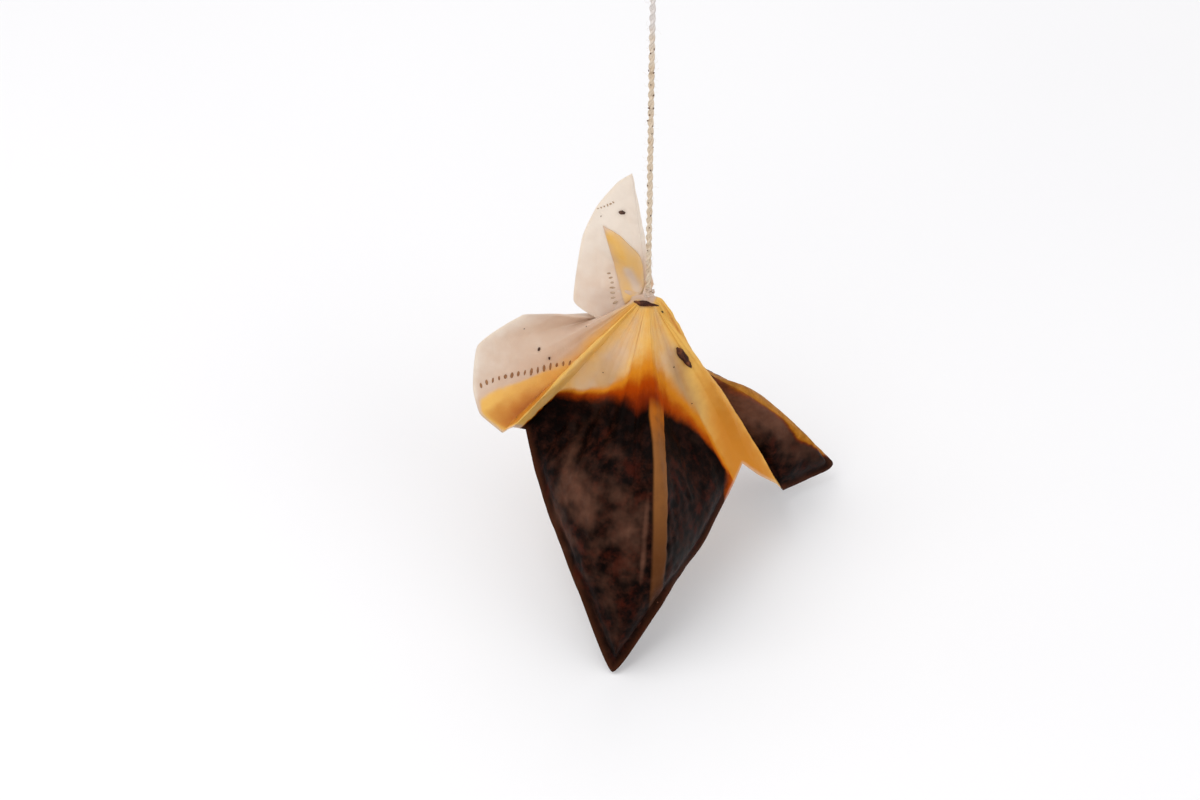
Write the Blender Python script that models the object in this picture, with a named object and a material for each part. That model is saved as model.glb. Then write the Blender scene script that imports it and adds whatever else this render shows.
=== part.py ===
"""Used tea bag on its string, hanging from a folded paper tag.

A pillow of filter paper is gathered at its middle by the string.  Two corners are
empty and stand out as pale ears, two are full of wet leaves and hang as pouches.
Metres, +Z up.  The origin is the middle of the tag's front face, which faces -Y.
"""
from math import cos, radians, sin, tau

import bmesh
import bpy
import numpy as np
from mathutils import Matrix, Vector

MM = 0.001

# Driving dimensions, in millimetres.
STRING_D = 0.95
STRING_LEN = 62.0        # free run from the knot up to the tag's lower edge
STRING_TUCK = 12.0       # held between the tag's leaves
STRING_STEP = 2.6        # run of string between its rings, in diameters
CLEARANCE = 0.3          # between pieces that touch on the real thing
LEAF_SLACK = 0.60        # between the leaves and the ply over them
TAG_W = 24.0
TAG_H = 28.0
TAG_CARD = 0.35
PLY = 0.25               # one ply of wet filter paper over the leaves
FLAT_HALF = 0.15         # half the thickness of two plies pressed together
SEAL = 1.4               # width of the sealed margin round the rim
FRONT_FILL = 5.6         # half the thickness of the front pouch's leaves
REAR_FILL = 4.2
EDGE_ROUND = 9.0         # how far in from the rim a pouch reaches full thickness
LINE_ROUND = 13.0        # the same below the line where the leaves begin
SIDE_ROUND = 0.6         # the same in from a pouch's side folds, in guides
VEIN = 0.55              # swelling over the open pleat that runs up to the neck
VEIN_WIDTH = 1.5
VEIN_START = 0.05        # the reach at which that swelling begins, and over which it rises
VEIN_RUN_IN = 0.2        # how far past the line where the leaves begin it fades out
NECK_R = 0.7             # gathered paper inside the tie
NECK_Z = 0.6             # where the sheet leaves the neck
NECK_PROFILE = ((0.5, -0.6), (0.62, 0.0), (NECK_R, 0.9), (0.6, 1.3), (0.35, 1.6))
TIE_D = 0.7              # string pulled tight round the neck
TIE_Z = 1.75
HEEL = 2.4               # how far out the upright ear is bent up behind the tie
HEEL_RISE = 0.2
LEG_D = 0.6              # the tie's two legs, from the loop up to the knot
KNOT_R = 0.75
KNOT_Z = 3.3

STRING_FOOT = KNOT_Z + KNOT_R + CLEARANCE
TAG_INSIDE = STRING_D / 2 + CLEARANCE
TAG_MIDDLE_Y = TAG_INSIDE + TAG_CARD
# The tie, seen from the middle of the tag's face: the bag is measured from it.
TIE = np.array([0.0, TAG_MIDDLE_Y, -(TAG_H / 2 + STRING_LEN + STRING_FOOT)])

# Guide lines of the sheet run from the neck out to the rim, in order round the neck:
# name, bearing round the neck in degrees (None: between its neighbours), rim point,
# lift off the straight run, and how far out the leaves begin (1: none there).
GUIDES = (
    ("ear_edge", 95, (-2.5, 5.0, 19.5), 0.0, 1),
    ("ear_tip", None, (-4.7, 5.5, 17.4), 0.3, 1),
    ("ear_fold", None, (-7.6, 5.0, 13.5), 0.9, 1),
    ("ear_side", None, (-9.8, 4.5, 8.0), -0.3, 1),
    ("ear_low", None, (-11.1, 2.0, -2.1), 0.0, 1),
    ("ear_corner", 150, (-6.7, -0.2, -4.65), 0.3, 1),
    ("ear_turn", 155, (-9.5, 3.5, -0.3), 0.0, 1),
    ("ears_valley", 162, (-7.4, 10.0, -12.2), -0.8, 1),
    ("wing_fold", 174, (-18.8, -1.6, -2.0), 0.0, 1),
    ("wing_corner", 185, (-25.5, -3.0, -6.7), -0.8, 1),
    ("wing_side", None, (-26.4, -4.5, -14.0), -1.2, 1),
    ("wing_bend", None, (-25.4, -6.0, -18.0), -1.6, 1),
    ("trough", None, (-22.3, -6.0, -21.8), -1.2, 1),
    ("strip", 214, (-20.3, -10.0, -17.0), 0.9, 1),
    ("front_side", 224, (-18.5, -7.0, -20.2), 0.4, 1),
    ("front_1", None, (-17.1, -11.0, -25.0), -0.5, 0.76),
    ("front_2", None, (-14.4, -18.0, -29.8), -1.0, 0.47),
    ("front_3", None, (-10.5, -26.0, -35.7), -0.6, 0.36),
    ("front_tip", 268, (-5.3, -33.0, -46.3), 0.4, 0.29),
    ("front_pleat", None, (1.5, -28.0, -38.4), 1.1, 0.32),
    ("front_4", None, (3.7, -25.0, -36.3), 0.1, 0.40),
    ("front_5", None, (8.2, -17.0, -35.8), -0.8, 0.50),
    ("front_6", None, (12.2, -10.0, -32.4), -0.5, 0.72),
    ("notch", 305, (14.8, -5.5, -28.8), 0.7, 1),
    ("band", 313, (17.5, -5.0, -31.8), 1.7, 1),
    ("band_edge", None, (20.9, -2.5, -36.2), 1.0, 1),
    ("rear_inner", 330, (22.4, 3.0, -42.9), -3.6, 0.60),
    ("rear_low", None, (26.5, 6.5, -43.8), -4.0, 0.44),
    ("rear_tip", 348, (30.5, 9.0, -42.4), -4.6, 0.38),
    ("rear_top", None, (19.8, 11.5, -31.5), -3.6, 0.52),
    ("rear_valley", 375, (8.3, 13.0, -25.5), -1.2, 1),
    ("back", 400, (-3.0, 12.0, -8.0), 0.0, 1),
    ("ear_back", 430, (-1.0, 8.5, 8.0), 0.0, 1),
)
UPRIGHT_EAR = ("ear_back", "ear_edge", "ear_tip", "ear_fold", "ear_side")
FOLDS = ("ear_edge", "ear_corner", "ear_turn", "ears_valley", "wing_fold", "trough", "strip",
         "front_side", "notch", "band", "band_edge", "rear_inner", "rear_top", "rear_valley", "back",
         "ear_back")
NAMES = [guide[0] for guide in GUIDES]
COUNT = len(GUIDES)
# How far these guides sag where they sag most, nearer the neck than the rim.
SAGS = {"wing_fold": (0.0, 1.6, -4.4), "wing_corner": (0.0, 1.8, -3.0)}
ARCH = 1.5                # how narrow the middle of a lift or a sag is
SAG_NEAR_NECK = 0.5       # 1: a sag is deepest half way out, lower: nearer the neck
TURN = 0.25               # 0: straight from guide to guide, 0.5: fully round
HEEL_V = 0.08            # the reach at which a guide passes its heel


def place(point):
    """A point measured from the tie in millimetres, in the part's metres."""
    return Vector((np.asarray(point) + TIE) * MM)


# ---------------------------------------------------------------- the sheet

def bearings():
    """Bearing of each guide round the neck, in radians."""
    known = [i for i in range(COUNT) if GUIDES[i][1] is not None]
    return np.radians(np.interp(range(COUNT), known, [GUIDES[i][1] for i in known]))


def round_blend(p1, p2, leave, arrive, t):
    """Smooth curve from p1 to p2 with the given tangents."""
    return ((2 * t ** 3 - 3 * t ** 2 + 1) * p1 + (t ** 3 - 2 * t ** 2 + t) * leave
            + (3 * t ** 2 - 2 * t ** 3) * p2 + (t ** 3 - t ** 2) * arrive)


def bulge(x):
    """Elliptic rise from 0 to 1."""
    x = min(1.0, max(0.0, x))
    return (1 - (1 - x) ** 2) ** 0.5


def ease(x):
    """Rise from 0 to 1 that is level at both ends."""
    x = min(1.0, max(0.0, x))
    return 3 * x ** 2 - 2 * x ** 3


class Sheet:
    """The bag's middle surface, over guide number u and reach v from neck (0) to rim (1)."""

    def __init__(self):
        self.rims = np.array([guide[2] for guide in GUIDES])
        self.lifts = np.array([guide[3] for guide in GUIDES])
        self.sags = np.array([SAGS.get(name, (0.0, 0.0, 0.0)) for name in NAMES])
        self.leaf_from = np.array([guide[4] for guide in GUIDES], dtype=float)
        around = np.stack([np.cos(bearings()), np.sin(bearings()), np.zeros(COUNT)], axis=1)
        self.ring = NECK_R * around + (0, 0, NECK_Z)
        run = self.rims - self.ring
        reach = np.linalg.norm(run, axis=1)[:, None]
        self.heels = self.ring + run / reach * (HEEL - NECK_R)
        for name in UPRIGHT_EAR:
            i = NAMES.index(name)
            self.heels[i] = HEEL * around[i] + (0, 0, NECK_Z + HEEL_RISE)
        self.lift_ways = self.smooth_normals()
        self.rim_line = np.array([self.point(u, 1) for u in np.arange(0, COUNT, 0.05)])

    def smooth_normals(self):
        """Outward direction of each guide, evened out over its neighbours."""
        along_rim = np.roll(self.rims, -1, axis=0) - np.roll(self.rims, 1, axis=0)
        ways = np.cross(self.rims, along_rim)
        for _ in range(4):
            ways /= np.linalg.norm(ways, axis=1)[:, None]
            ways = np.roll(ways, 1, axis=0) + 2 * ways + np.roll(ways, -1, axis=0)
        return ways / np.linalg.norm(ways, axis=1)[:, None]

    def on_guide(self, i, v):
        i %= COUNT
        if v <= HEEL_V:
            return self.ring[i] + (self.heels[i] - self.ring[i]) * v / HEEL_V
        s = (v - HEEL_V) / (1 - HEEL_V)
        straight = self.heels[i] + (self.rims[i] - self.heels[i]) * s
        lift = self.lift_ways[i] * self.lifts[i] * sin(tau / 2 * s) ** ARCH
        return straight + lift + self.sags[i] * abs(sin(tau / 2 * s ** SAG_NEAR_NECK)) ** ARCH

    def point(self, u, v):
        """A spot on the middle surface: creased at the folds, rounded between them."""
        i = int(u // 1)
        before, start, end, after = (self.on_guide(i + k, v) for k in (-1, 0, 1, 2))
        leave = 2 * (end - start) if NAMES[i % COUNT] in FOLDS else end - before
        arrive = 2 * (end - start) if NAMES[(i + 1) % COUNT] in FOLDS else after - start
        return round_blend(start, end, TURN * leave, TURN * arrive, u - i)

    def normal(self, u, v):
        """Outward normal, taken over a wide enough step to even out the folds."""
        v = min(0.97, max(0.06, v))
        across = self.point(u + 0.6, v) - self.point(u - 0.6, v)
        outward = self.point(u, v + 0.03) - self.point(u, v - 0.03)
        way = np.cross(outward, across)
        return way / np.linalg.norm(way)

    def leaf_start(self, u):
        i = int(u // 1)
        return np.interp(u - i, (0, 1), (self.leaf_from[i % COUNT], self.leaf_from[(i + 1) % COUNT]))

    def rim_distance(self, point):
        return np.linalg.norm(self.rim_line - point, axis=1).min()

    def fill(self, u, v, pouch):
        """Half the thickness of the leaves in a pouch."""
        point = self.point(u, v)
        below_line = (v - self.leaf_start(u)) * np.linalg.norm(self.point(u, 1))
        from_seal = self.rim_distance(point) - SEAL
        inside = min(u - pouch.first, pouch.last - u)
        return (pouch.fill * ease(below_line / LINE_ROUND) * bulge(from_seal / EDGE_ROUND)
                * bulge(inside / SIDE_ROUND))

    def swell(self, u, v):
        """How far the paper stands off the middle surface over leaves or an open pleat."""
        off = 0.0
        for pouch in POUCHES:
            if pouch.first - 1 < u < pouch.last + 1:
                aside = np.linalg.norm(self.point(u, v) - self.point(pouch.vein, v))
                end = self.leaf_start(pouch.vein) + VEIN_RUN_IN
                in_reach = bulge((v - VEIN_START) / VEIN_START) * bulge((end - v) / VEIN_RUN_IN)
                off += self.fill(u, v, pouch) + VEIN * in_reach * 2 ** -((aside / VEIN_WIDTH) ** 2)
        return off


class Pouch:
    """A run of guides whose paper is full of leaves, and the guide its open pleat follows."""

    def __init__(self, name, first, last, vein, fill, swell, mouth_side):
        self.name = name
        self.first = NAMES.index(first)
        self.last = NAMES.index(last)
        self.vein = vein
        self.fill = fill
        self.swell = np.array(swell) / np.linalg.norm(swell)
        self.mouth_side = mouth_side


POUCHES = (
    Pouch("front", "front_side", "notch", NAMES.index("front_tip") + 0.6, FRONT_FILL,
          (0.05, -0.8, 0.6), 1),
    Pouch("rear", "rear_inner", "rear_top", NAMES.index("rear_low") + 0.5, REAR_FILL,
          (0.5, -0.3, 0.8), -1),
)
SHEET = Sheet()


# ---------------------------------------------------------------- building helpers

def collection(name):
    made = bpy.data.collections.new(name)
    bpy.context.scene.collection.children.link(made)
    return made


def material(name, colour, roughness):
    made = bpy.data.materials.new(name)
    made.use_nodes = True
    shader = made.node_tree.nodes["Principled BSDF"]
    shader.inputs["Base Color"].default_value = (*colour, 1)
    shader.inputs["Roughness"].default_value = roughness
    shader.inputs["Metallic"].default_value = 0
    return made


def mesh_object(name, points, faces, finish, home):
    mesh = bpy.data.meshes.new(name)
    mesh.from_pydata([tuple(point) for point in points], [], faces)
    work = bmesh.new()
    work.from_mesh(mesh)
    bmesh.ops.recalc_face_normals(work, faces=work.faces)
    bmesh.ops.triangulate(work, faces=work.faces)
    work.to_mesh(mesh)
    work.free()
    made = bpy.data.objects.new(name, mesh)
    if finish:
        mesh.materials.append(finish)
    home.objects.link(made)
    mesh.shade_smooth()
    mesh.set_sharp_from_angle(angle=radians(50))
    return made


def bridge(lower, upper, closed=True):
    """Quads between two rows of point numbers."""
    count = len(lower) if closed else len(lower) - 1
    return [(lower[k], lower[(k + 1) % len(lower)], upper[(k + 1) % len(lower)], upper[k])
            for k in range(count)]


def cutter(made):
    made.hide_render = True
    made.display_type = "WIRE"
    return made


def boolean(body, tool, operation, solver="EXACT"):
    step = body.modifiers.new(tool.name, "BOOLEAN")
    step.object = tool
    step.operation = operation
    step.solver = solver


# ---------------------------------------------------------------- the paper bag

REACHES = (0.0, 0.04, 0.08, 0.16, 0.28, 0.4, 0.52, 0.65, 0.77, 0.87, 0.95, 1.0)
STEPS = 2                # columns per guide where the paper curves
LAP = 0.3                # how far a panel runs on past its folds
LEAST_LEAN = 0.12
LEAST_FILL = 1.0         # leaves thinner than this are left out
ROOM_END = 0.975         # the reach at which the rim's seal begins
LEAST_HALF = 0.08
STEEPEST = 0.45          # a panel more on edge than this gets no thicker along its way
THIN_AT_NECK = 0.35      # share of the paper's thickness, and of its lap, left at the neck
LAP_AT_NECK = 0.2
THICKENS = 3             # and how fast the rest comes back with the reach
CHANNEL_HALF = (0.7, 0.3)    # the open pleat's half width and half height
CHANNEL_SIDES = 8
CHANNEL_LAP = 0.14       # how far the pleat runs on into its pouch
# The pleat's upper end: reaches, and how far it has turned out through the paper.
CHANNEL_TOP = 0.14
CHANNEL_MOUTH = ((0.1, 0.5), (0.085, 1.6))


def no_gaps(spots):
    """The grid spots, with any hole or notch between two of a row or column filled in."""
    for axis in (0, 1, 0, 1):
        lines = {}
        for spot in spots:
            lines.setdefault(spot[1 - axis], []).append(spot[axis])
        runs = [(along, line) for line, held in lines.items()
                for along in range(min(held), max(held) + 1)]
        spots = {run if axis == 0 else run[::-1] for run in runs}
    return spots


def cell(a, b):
    """The corners of one cell of a grid."""
    return (a, b), (a + 1, b), (a + 1, b + 1), (a, b + 1)


def halves_of(corners, full):
    """A cell's two triangles, cut through a full corner where it has one."""
    if not full.intersection((corners[0], corners[2])):
        corners = corners[1:] + corners[:1]
    return corners[:3], (corners[0], corners[2], corners[3])


class Panel:
    """The flat paper from one fold to the next, and the way its thickness is measured."""

    def __init__(self, name, first, last, pouch=None, steps=STEPS):
        self.name = name
        self.pouch = pouch
        self.first = NAMES.index(first)
        self.last = NAMES.index(last)
        if self.last <= self.first:
            self.last += COUNT
        way = pouch.swell if pouch else self.mean_normal()
        self.way = way / np.linalg.norm(way)
        if self.last - self.first == 1:
            steps = 1
        self.columns = np.arange(self.first, self.last + 0.01, 1 / steps)
        self.skipped = self.twisted_reaches()
        grid = [(a, b) for a in range(len(self.columns)) for b in range(len(REACHES))]
        self.fills = {spot: self.fill(*spot) for spot in grid}
        self.full = no_gaps({spot for spot in grid if self.fills[spot] > LEAST_FILL})

    def fill(self, a, b):
        """Half the thickness of the leaves under a spot of the panel's grid."""
        return SHEET.fill(self.columns[a], REACHES[b], self.pouch) if self.pouch else 0

    def mean_normal(self):
        total = np.zeros(3)
        for u in np.arange(self.first + 0.25, self.last, 0.5):
            for v in (0.35, 0.5, 0.65, 0.8, 0.92):
                total += self.face(u, v)
        return total

    def face(self, u, v):
        """Outward normal at a spot, with the length of the patch's area."""
        u = min(max(u, self.first + 0.1), self.last - 0.1)
        v = min(max(v, 0.02), 0.98)
        across = SHEET.point(u + 0.1, v) - SHEET.point(u - 0.1, v)
        outward = SHEET.point(u, v + 0.02) - SHEET.point(u, v - 0.02)
        return np.cross(outward, across)

    def lean(self, u, v):
        """How squarely the panel's way stands on the paper: 1 is square."""
        face = self.face(u, v)
        return face @ self.way / np.linalg.norm(face)

    def twisted_reaches(self):
        """How many reaches next to the neck the panel stands too much on edge in."""
        first = 0 if self.way[2] > LEAST_LEAN else 1
        for k, v in enumerate(REACHES[:7]):
            if min(self.lean(u, v) for u in self.columns) < LEAST_LEAN:
                first = k + 1
        return first

    def half(self, u, v):
        """From the middle surface to the paper's outside, along the panel's way."""
        thick = FLAT_HALF * min(1, THIN_AT_NECK + THICKENS * v) / max(STEEPEST, self.lean(u, v))
        return (thick + SHEET.swell(u, v)) * self.way

    def section(self, v):
        """Middle points and halves at one reach, lapping a little past both folds."""
        middles = [SHEET.point(u, v) * ((0.5, 0.5, 1) if v == 0 else 1) for u in self.columns]
        halves = [self.half(u, v) for u in self.columns]
        lap = LAP * min(1, LAP_AT_NECK + THICKENS * v)
        for end, inner, place_at in ((0, 1, 0), (-1, -2, len(middles) + 1)):
            past = middles[end] - middles[inner]
            past = middles[end] + past * lap / np.linalg.norm(past)
            middles.insert(place_at, past)
            halves.insert(place_at, halves[end])
        return middles, halves

    def skin(self):
        """Points and faces of the panel as one closed slab."""
        points = []
        upper = []
        lower = []
        for v in REACHES[self.skipped:]:
            middles, halves = self.section(v)
            above = len(points)
            upper.append(list(range(above, above + len(middles))))
            lower.append(list(range(above + len(middles), above + 2 * len(middles))))
            points += [place(middle + half) for middle, half in zip(middles, halves)]
            points += [place(middle - half) for middle, half in zip(middles, halves)]
        faces = bridge(outline(upper), outline(lower))
        for k in range(len(upper) - 1):
            for j in range(len(upper[0]) - 1):
                for corners in halves_of(cell(j - 1, k + self.skipped), self.full):
                    spots = [(b - self.skipped, a + 1) for a, b in corners]
                    faces.append([upper[row][column] for row, column in spots])
                    faces.append([lower[row][column] for row, column in reversed(spots)])
        return points, faces

    def filling(self, thinner, drawn_in):
        """Points and faces of the pillow inside the panel's pouch, on the same grid.

        thinner is its distance from each ply, and drawn_in the part of a grid step that
        its edge keeps in from the edge of the room.
        """
        full = self.full
        middles = {(a, b): SHEET.point(self.columns[a], min(ROOM_END, REACHES[b]))
                   for a, b in self.fills}
        points = []
        upper = {}
        lower = {}
        faces = []
        for a, b in self.fills:
            if not full.intersection(cell(a, b)):
                continue
            for spot in cell(a, b):
                if spot in upper:
                    continue
                middle = middles[spot]
                upper[spot] = lower[spot] = len(points)
                if spot in full:
                    reach = max(LEAST_HALF, self.fills[spot] - thinner) * self.way
                    lower[spot] = len(points) + 1
                    points += [place(middle + reach), place(middle - reach)]
                else:
                    inner = [middles[near] for near in full
                             if max(abs(near[0] - spot[0]), abs(near[1] - spot[1])) == 1]
                    points.append(place(middle + (np.mean(inner, axis=0) - middle) * drawn_in))
            for corners in halves_of(cell(a, b), full):
                faces.append([upper[spot] for spot in corners])
                faces.append([lower[spot] for spot in reversed(corners)])
        return points, faces


def outline(rows):
    """Point numbers round the edge of a grid given as rows."""
    return (rows[0] + [row[-1] for row in rows[1:]] + rows[-1][-2::-1]
            + [row[0] for row in rows[-2:0:-1]])


PANELS = (
    Panel("ear", "ear_edge", "ear_corner"),
    Panel("ear_hem", "ear_corner", "ear_turn"),
    Panel("valley_back", "ear_turn", "ears_valley"),
    Panel("valley_front", "ears_valley", "wing_fold"),
    Panel("wing", "wing_fold", "trough"),
    Panel("strip_back", "trough", "strip"),
    Panel("strip", "strip", "front_side"),
    Panel("front", "front_side", "notch", POUCHES[0]),
    Panel("band_inner", "notch", "band"),
    Panel("band_outer", "band", "band_edge"),
    Panel("rear_fold", "band_edge", "rear_inner"),
    Panel("rear", "rear_inner", "rear_top", POUCHES[1], 3),
    Panel("rear_back", "rear_top", "rear_valley"),
    Panel("back", "rear_valley", "back"),
    Panel("back_up", "back", "ear_back"),
    Panel("ear_back", "ear_back", "ear_edge"),
)


def neck_nub():
    """Points and faces of the gathered paper that stands up through the tie."""
    sides = 20
    points = []
    rows = []
    for radius, height in NECK_PROFILE:
        rows.append(list(range(len(points), len(points) + sides)))
        points += [place((radius * cos(tau * k / sides), radius * sin(tau * k / sides), NECK_Z + height))
                   for k in range(sides)]
    faces = [face for k in range(len(rows) - 1) for face in bridge(rows[k], rows[k + 1])]
    return points, faces + [rows[0][::-1], rows[-1]]


def pleat_channel(pouch):
    """The open pleat from a pouch up to its mouth beside the neck, as a swept oval."""
    half_wide, half_high = CHANNEL_HALF
    sides = CHANNEL_SIDES
    start = SHEET.leaf_start(pouch.vein) + CHANNEL_LAP
    path = [(v, 0.0) for v in np.linspace(start, CHANNEL_TOP, 7)] + list(CHANNEL_MOUTH)
    points = []
    rows = []
    for v, out in path:
        side = SHEET.point(pouch.vein + 0.3, v) - SHEET.point(pouch.vein - 0.3, v)
        side /= np.linalg.norm(side)
        up = pouch.swell
        middle = SHEET.point(pouch.vein, v) + up * out * pouch.mouth_side
        rows.append(list(range(len(points), len(points) + sides)))
        points += [place(middle + side * half_wide * cos(tau * k / sides)
                         + up * half_high * sin(tau * k / sides)) for k in range(sides)]
    faces = [face for k in range(len(rows) - 1) for face in bridge(rows[k], rows[k + 1])]
    return points, faces + [rows[0][::-1], rows[-1]]


def paper_bag(home, tools):
    """The gathered neck, the panels that fold out of it, and the rooms the leaves lie in.

    The panels lie face to face round the neck, where the exact solver leaves open edges.
    """
    finish = material("filter_paper", (0.78, 0.58, 0.34), 0.55)
    bag = mesh_object("filter_paper_bag", *neck_nub(), finish, home)
    for panel in PANELS:
        boolean(bag, cutter(mesh_object(panel.name, *panel.skin(), None, tools)), "UNION", "MANIFOLD")
    for panel in PANELS:
        if not panel.pouch:
            continue
        for name, shape in (("room", panel.filling(PLY - FLAT_HALF, 0)),
                            ("pleat", pleat_channel(panel.pouch))):
            hollow = cutter(mesh_object(panel.name + "_" + name, *shape, None, tools))
            boolean(bag, hollow, "DIFFERENCE", "MANIFOLD")


def wet_leaves(home):
    finish = material("wet_leaves", (0.035, 0.018, 0.012), 0.6)
    for panel in PANELS:
        if panel.pouch:
            clump = panel.filling(PLY - FLAT_HALF + LEAF_SLACK, 0.5)
            mesh_object("wet_leaves_" + panel.name, *clump, finish, home)


# ---------------------------------------------------------------- string, tie and tag

def neck_tie(home, tools):
    """The loop drawn tight round the neck, its two legs and the knot on top."""
    finish = material("stained_string", (0.62, 0.50, 0.36), 0.8)
    loop_r = NECK_R + CLEARANCE + TIE_D / 2
    bpy.ops.mesh.primitive_torus_add(
        location=place((0, 0, TIE_Z)), major_radius=loop_r * MM, minor_radius=TIE_D / 2 * MM,
        major_segments=24, minor_segments=8)
    tie = bpy.context.object
    tie.name = tie.data.name = "neck_tie"
    tie.data.materials.append(finish)
    knot = place((0, 0, KNOT_Z))
    for number, side in enumerate((-1, 1)):
        foot = place((side * loop_r, 0, TIE_Z))
        run = knot - foot
        turn = Vector((0, 0, 1)).rotation_difference(run).to_matrix().to_4x4()
        work = bmesh.new()
        bmesh.ops.create_cone(
            work, cap_ends=True, segments=8, radius1=LEG_D / 2 * MM, radius2=LEG_D / 2 * MM,
            depth=run.length, matrix=Matrix.Translation((knot + foot) / 2) @ turn)
        leg = bpy.data.meshes.new("tie_leg_%d" % number)
        work.to_mesh(leg)
        work.free()
        leg_object = bpy.data.objects.new(leg.name, leg)
        tools.objects.link(leg_object)
        boolean(tie, cutter(leg_object), "UNION")
    work = bmesh.new()
    bmesh.ops.create_uvsphere(work, u_segments=12, v_segments=8, radius=KNOT_R * MM,
                              matrix=Matrix.Translation(knot))
    ball = bpy.data.meshes.new("tie_knot")
    work.to_mesh(ball)
    work.free()
    ball_object = bpy.data.objects.new("tie_knot", ball)
    tools.objects.link(ball_object)
    boolean(tie, cutter(ball_object), "UNION")
    for old in tie.users_collection:
        old.objects.unlink(tie)
    home.objects.link(tie)
    return finish


def taut_string(home, finish):
    """One straight run, from just above the knot to its end between the tag's leaves."""
    length = STRING_LEN + STRING_TUCK
    count = 1 + round(length / (STRING_STEP * STRING_D))
    data = bpy.data.curves.new("string", "CURVE")
    data.dimensions = "3D"
    data.bevel_depth = STRING_D / 2 * MM
    data.bevel_resolution = 2
    data.use_fill_caps = True
    line = data.splines.new("POLY")
    line.points.add(count - 1)
    for k, point in enumerate(line.points):
        height = STRING_FOOT + length * k / (count - 1)
        point.co = (*place((0, 0, height)), 1)
    data.materials.append(finish)
    home.objects.link(bpy.data.objects.new("string", data))


def paper_tag(home):
    """A strip of card folded over the string's end: a U in section, round at its top."""
    finish = material("tag_card", (0.86, 0.84, 0.78), 0.7)
    inside = TAG_INSIDE
    outside = inside + TAG_CARD
    top = TAG_H / 2 - outside
    arc = [tau / 2 * k / 10 for k in range(11)]
    outer = [(outside * cos(a), top + outside * sin(a)) for a in arc]
    inner = [(inside * cos(a), top + inside * sin(a)) for a in reversed(arc)]
    foot = -TAG_H / 2
    section = [(outside, foot)] + outer + [(-outside, foot), (-inside, foot)] + inner + [(inside, foot)]
    points = [Vector((x, TAG_MIDDLE_Y + y, z)) * MM
              for x in (-TAG_W / 2, TAG_W / 2) for y, z in section]
    count = len(section)
    near = list(range(count))
    far = list(range(count, 2 * count))
    faces = bridge(near, far) + [near[::-1], far]
    mesh_object("paper_tag", points, faces, finish, home)


# ---------------------------------------------------------------- stray leaf

# Name, guide, share of the way on to the next guide, reach, length, width, thickness,
# turn from the run of the guide in degrees, and how far its ends bend off the paper.
SCRAPS = (
    ("leaf_scrap_neck", "front_3", 0.4, 0.04, 3.9, 0.8, 0.5, 90, -0.3),
    ("leaf_scrap_band", "front_6", 0.8, 0.355, 4.6, 1.2, 0.5, 6, 0.1),
)
# How much wider one end of a flake is than the other, and how far both draw in to a point.
SCRAP_TAPER = 0.3
SCRAP_POINT = 0.35


def leaf_scrap(name, guide, onward, v, length, width, thick, turn, lift, home, finish):
    """A flake of leaf stuck on the bag's upper face."""
    u = NAMES.index(guide) + onward
    up = Vector(SHEET.normal(u, v))
    out = Vector(SHEET.point(u, v + 0.03) - SHEET.point(u, v - 0.03)).normalized()
    side = up.cross(out).normalized()
    along = out * cos(radians(turn)) + side * sin(radians(turn))
    across = up.cross(along)
    panel = next(panel for panel in PANELS if panel.first <= u < panel.last)
    centre = SHEET.point(u, v) + panel.half(u, v) + np.array(up) * (CLEARANCE + thick / 2)
    work = bmesh.new()
    bmesh.ops.create_icosphere(work, subdivisions=2, radius=1)
    for vertex in work.verts:
        x, y, z = vertex.co
        half_width = width / 2 * (1 - SCRAP_TAPER * x) * (1 - SCRAP_POINT * x * x)
        flat = Vector((x * length / 2, y * half_width, z * thick / 2 + lift * x * x))
        spot = along * flat.x + across * flat.y + up * flat.z
        vertex.co = place(centre + np.array(spot))
    mesh = bpy.data.meshes.new(name)
    work.to_mesh(mesh)
    work.free()
    mesh.materials.append(finish)
    mesh.shade_smooth()
    home.objects.link(bpy.data.objects.new(name, mesh))


def main():
    for old in list(bpy.data.objects):
        bpy.data.objects.remove(old)
    home = collection("used_tea_bag")
    tools = collection("cutters")
    paper_bag(home, tools)
    wet_leaves(home)
    finish = neck_tie(home, tools)
    taut_string(home, finish)
    paper_tag(home)
    leaf = material("leaf_scrap", (0.05, 0.02, 0.012), 0.5)
    for scrap in SCRAPS:
        leaf_scrap(*scrap, home, leaf)


main()
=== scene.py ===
"""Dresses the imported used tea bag: folded wet paper, leaves, twisted string, tie and tag.

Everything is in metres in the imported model's frame.  Spots on the bag are given either
as a guide number round the neck with a reach from neck (0) to rim (1), or in
millimetres from the tie.
"""
from math import cos, pi, radians, sin, tau

import bmesh
import bpy
import numpy as np
from bpy.props import (
    FloatProperty, FloatVectorProperty, IntProperty, PointerProperty,
)
from bpy.types import Operator, Panel, PropertyGroup
from mathutils import Color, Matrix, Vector, noise


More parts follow.
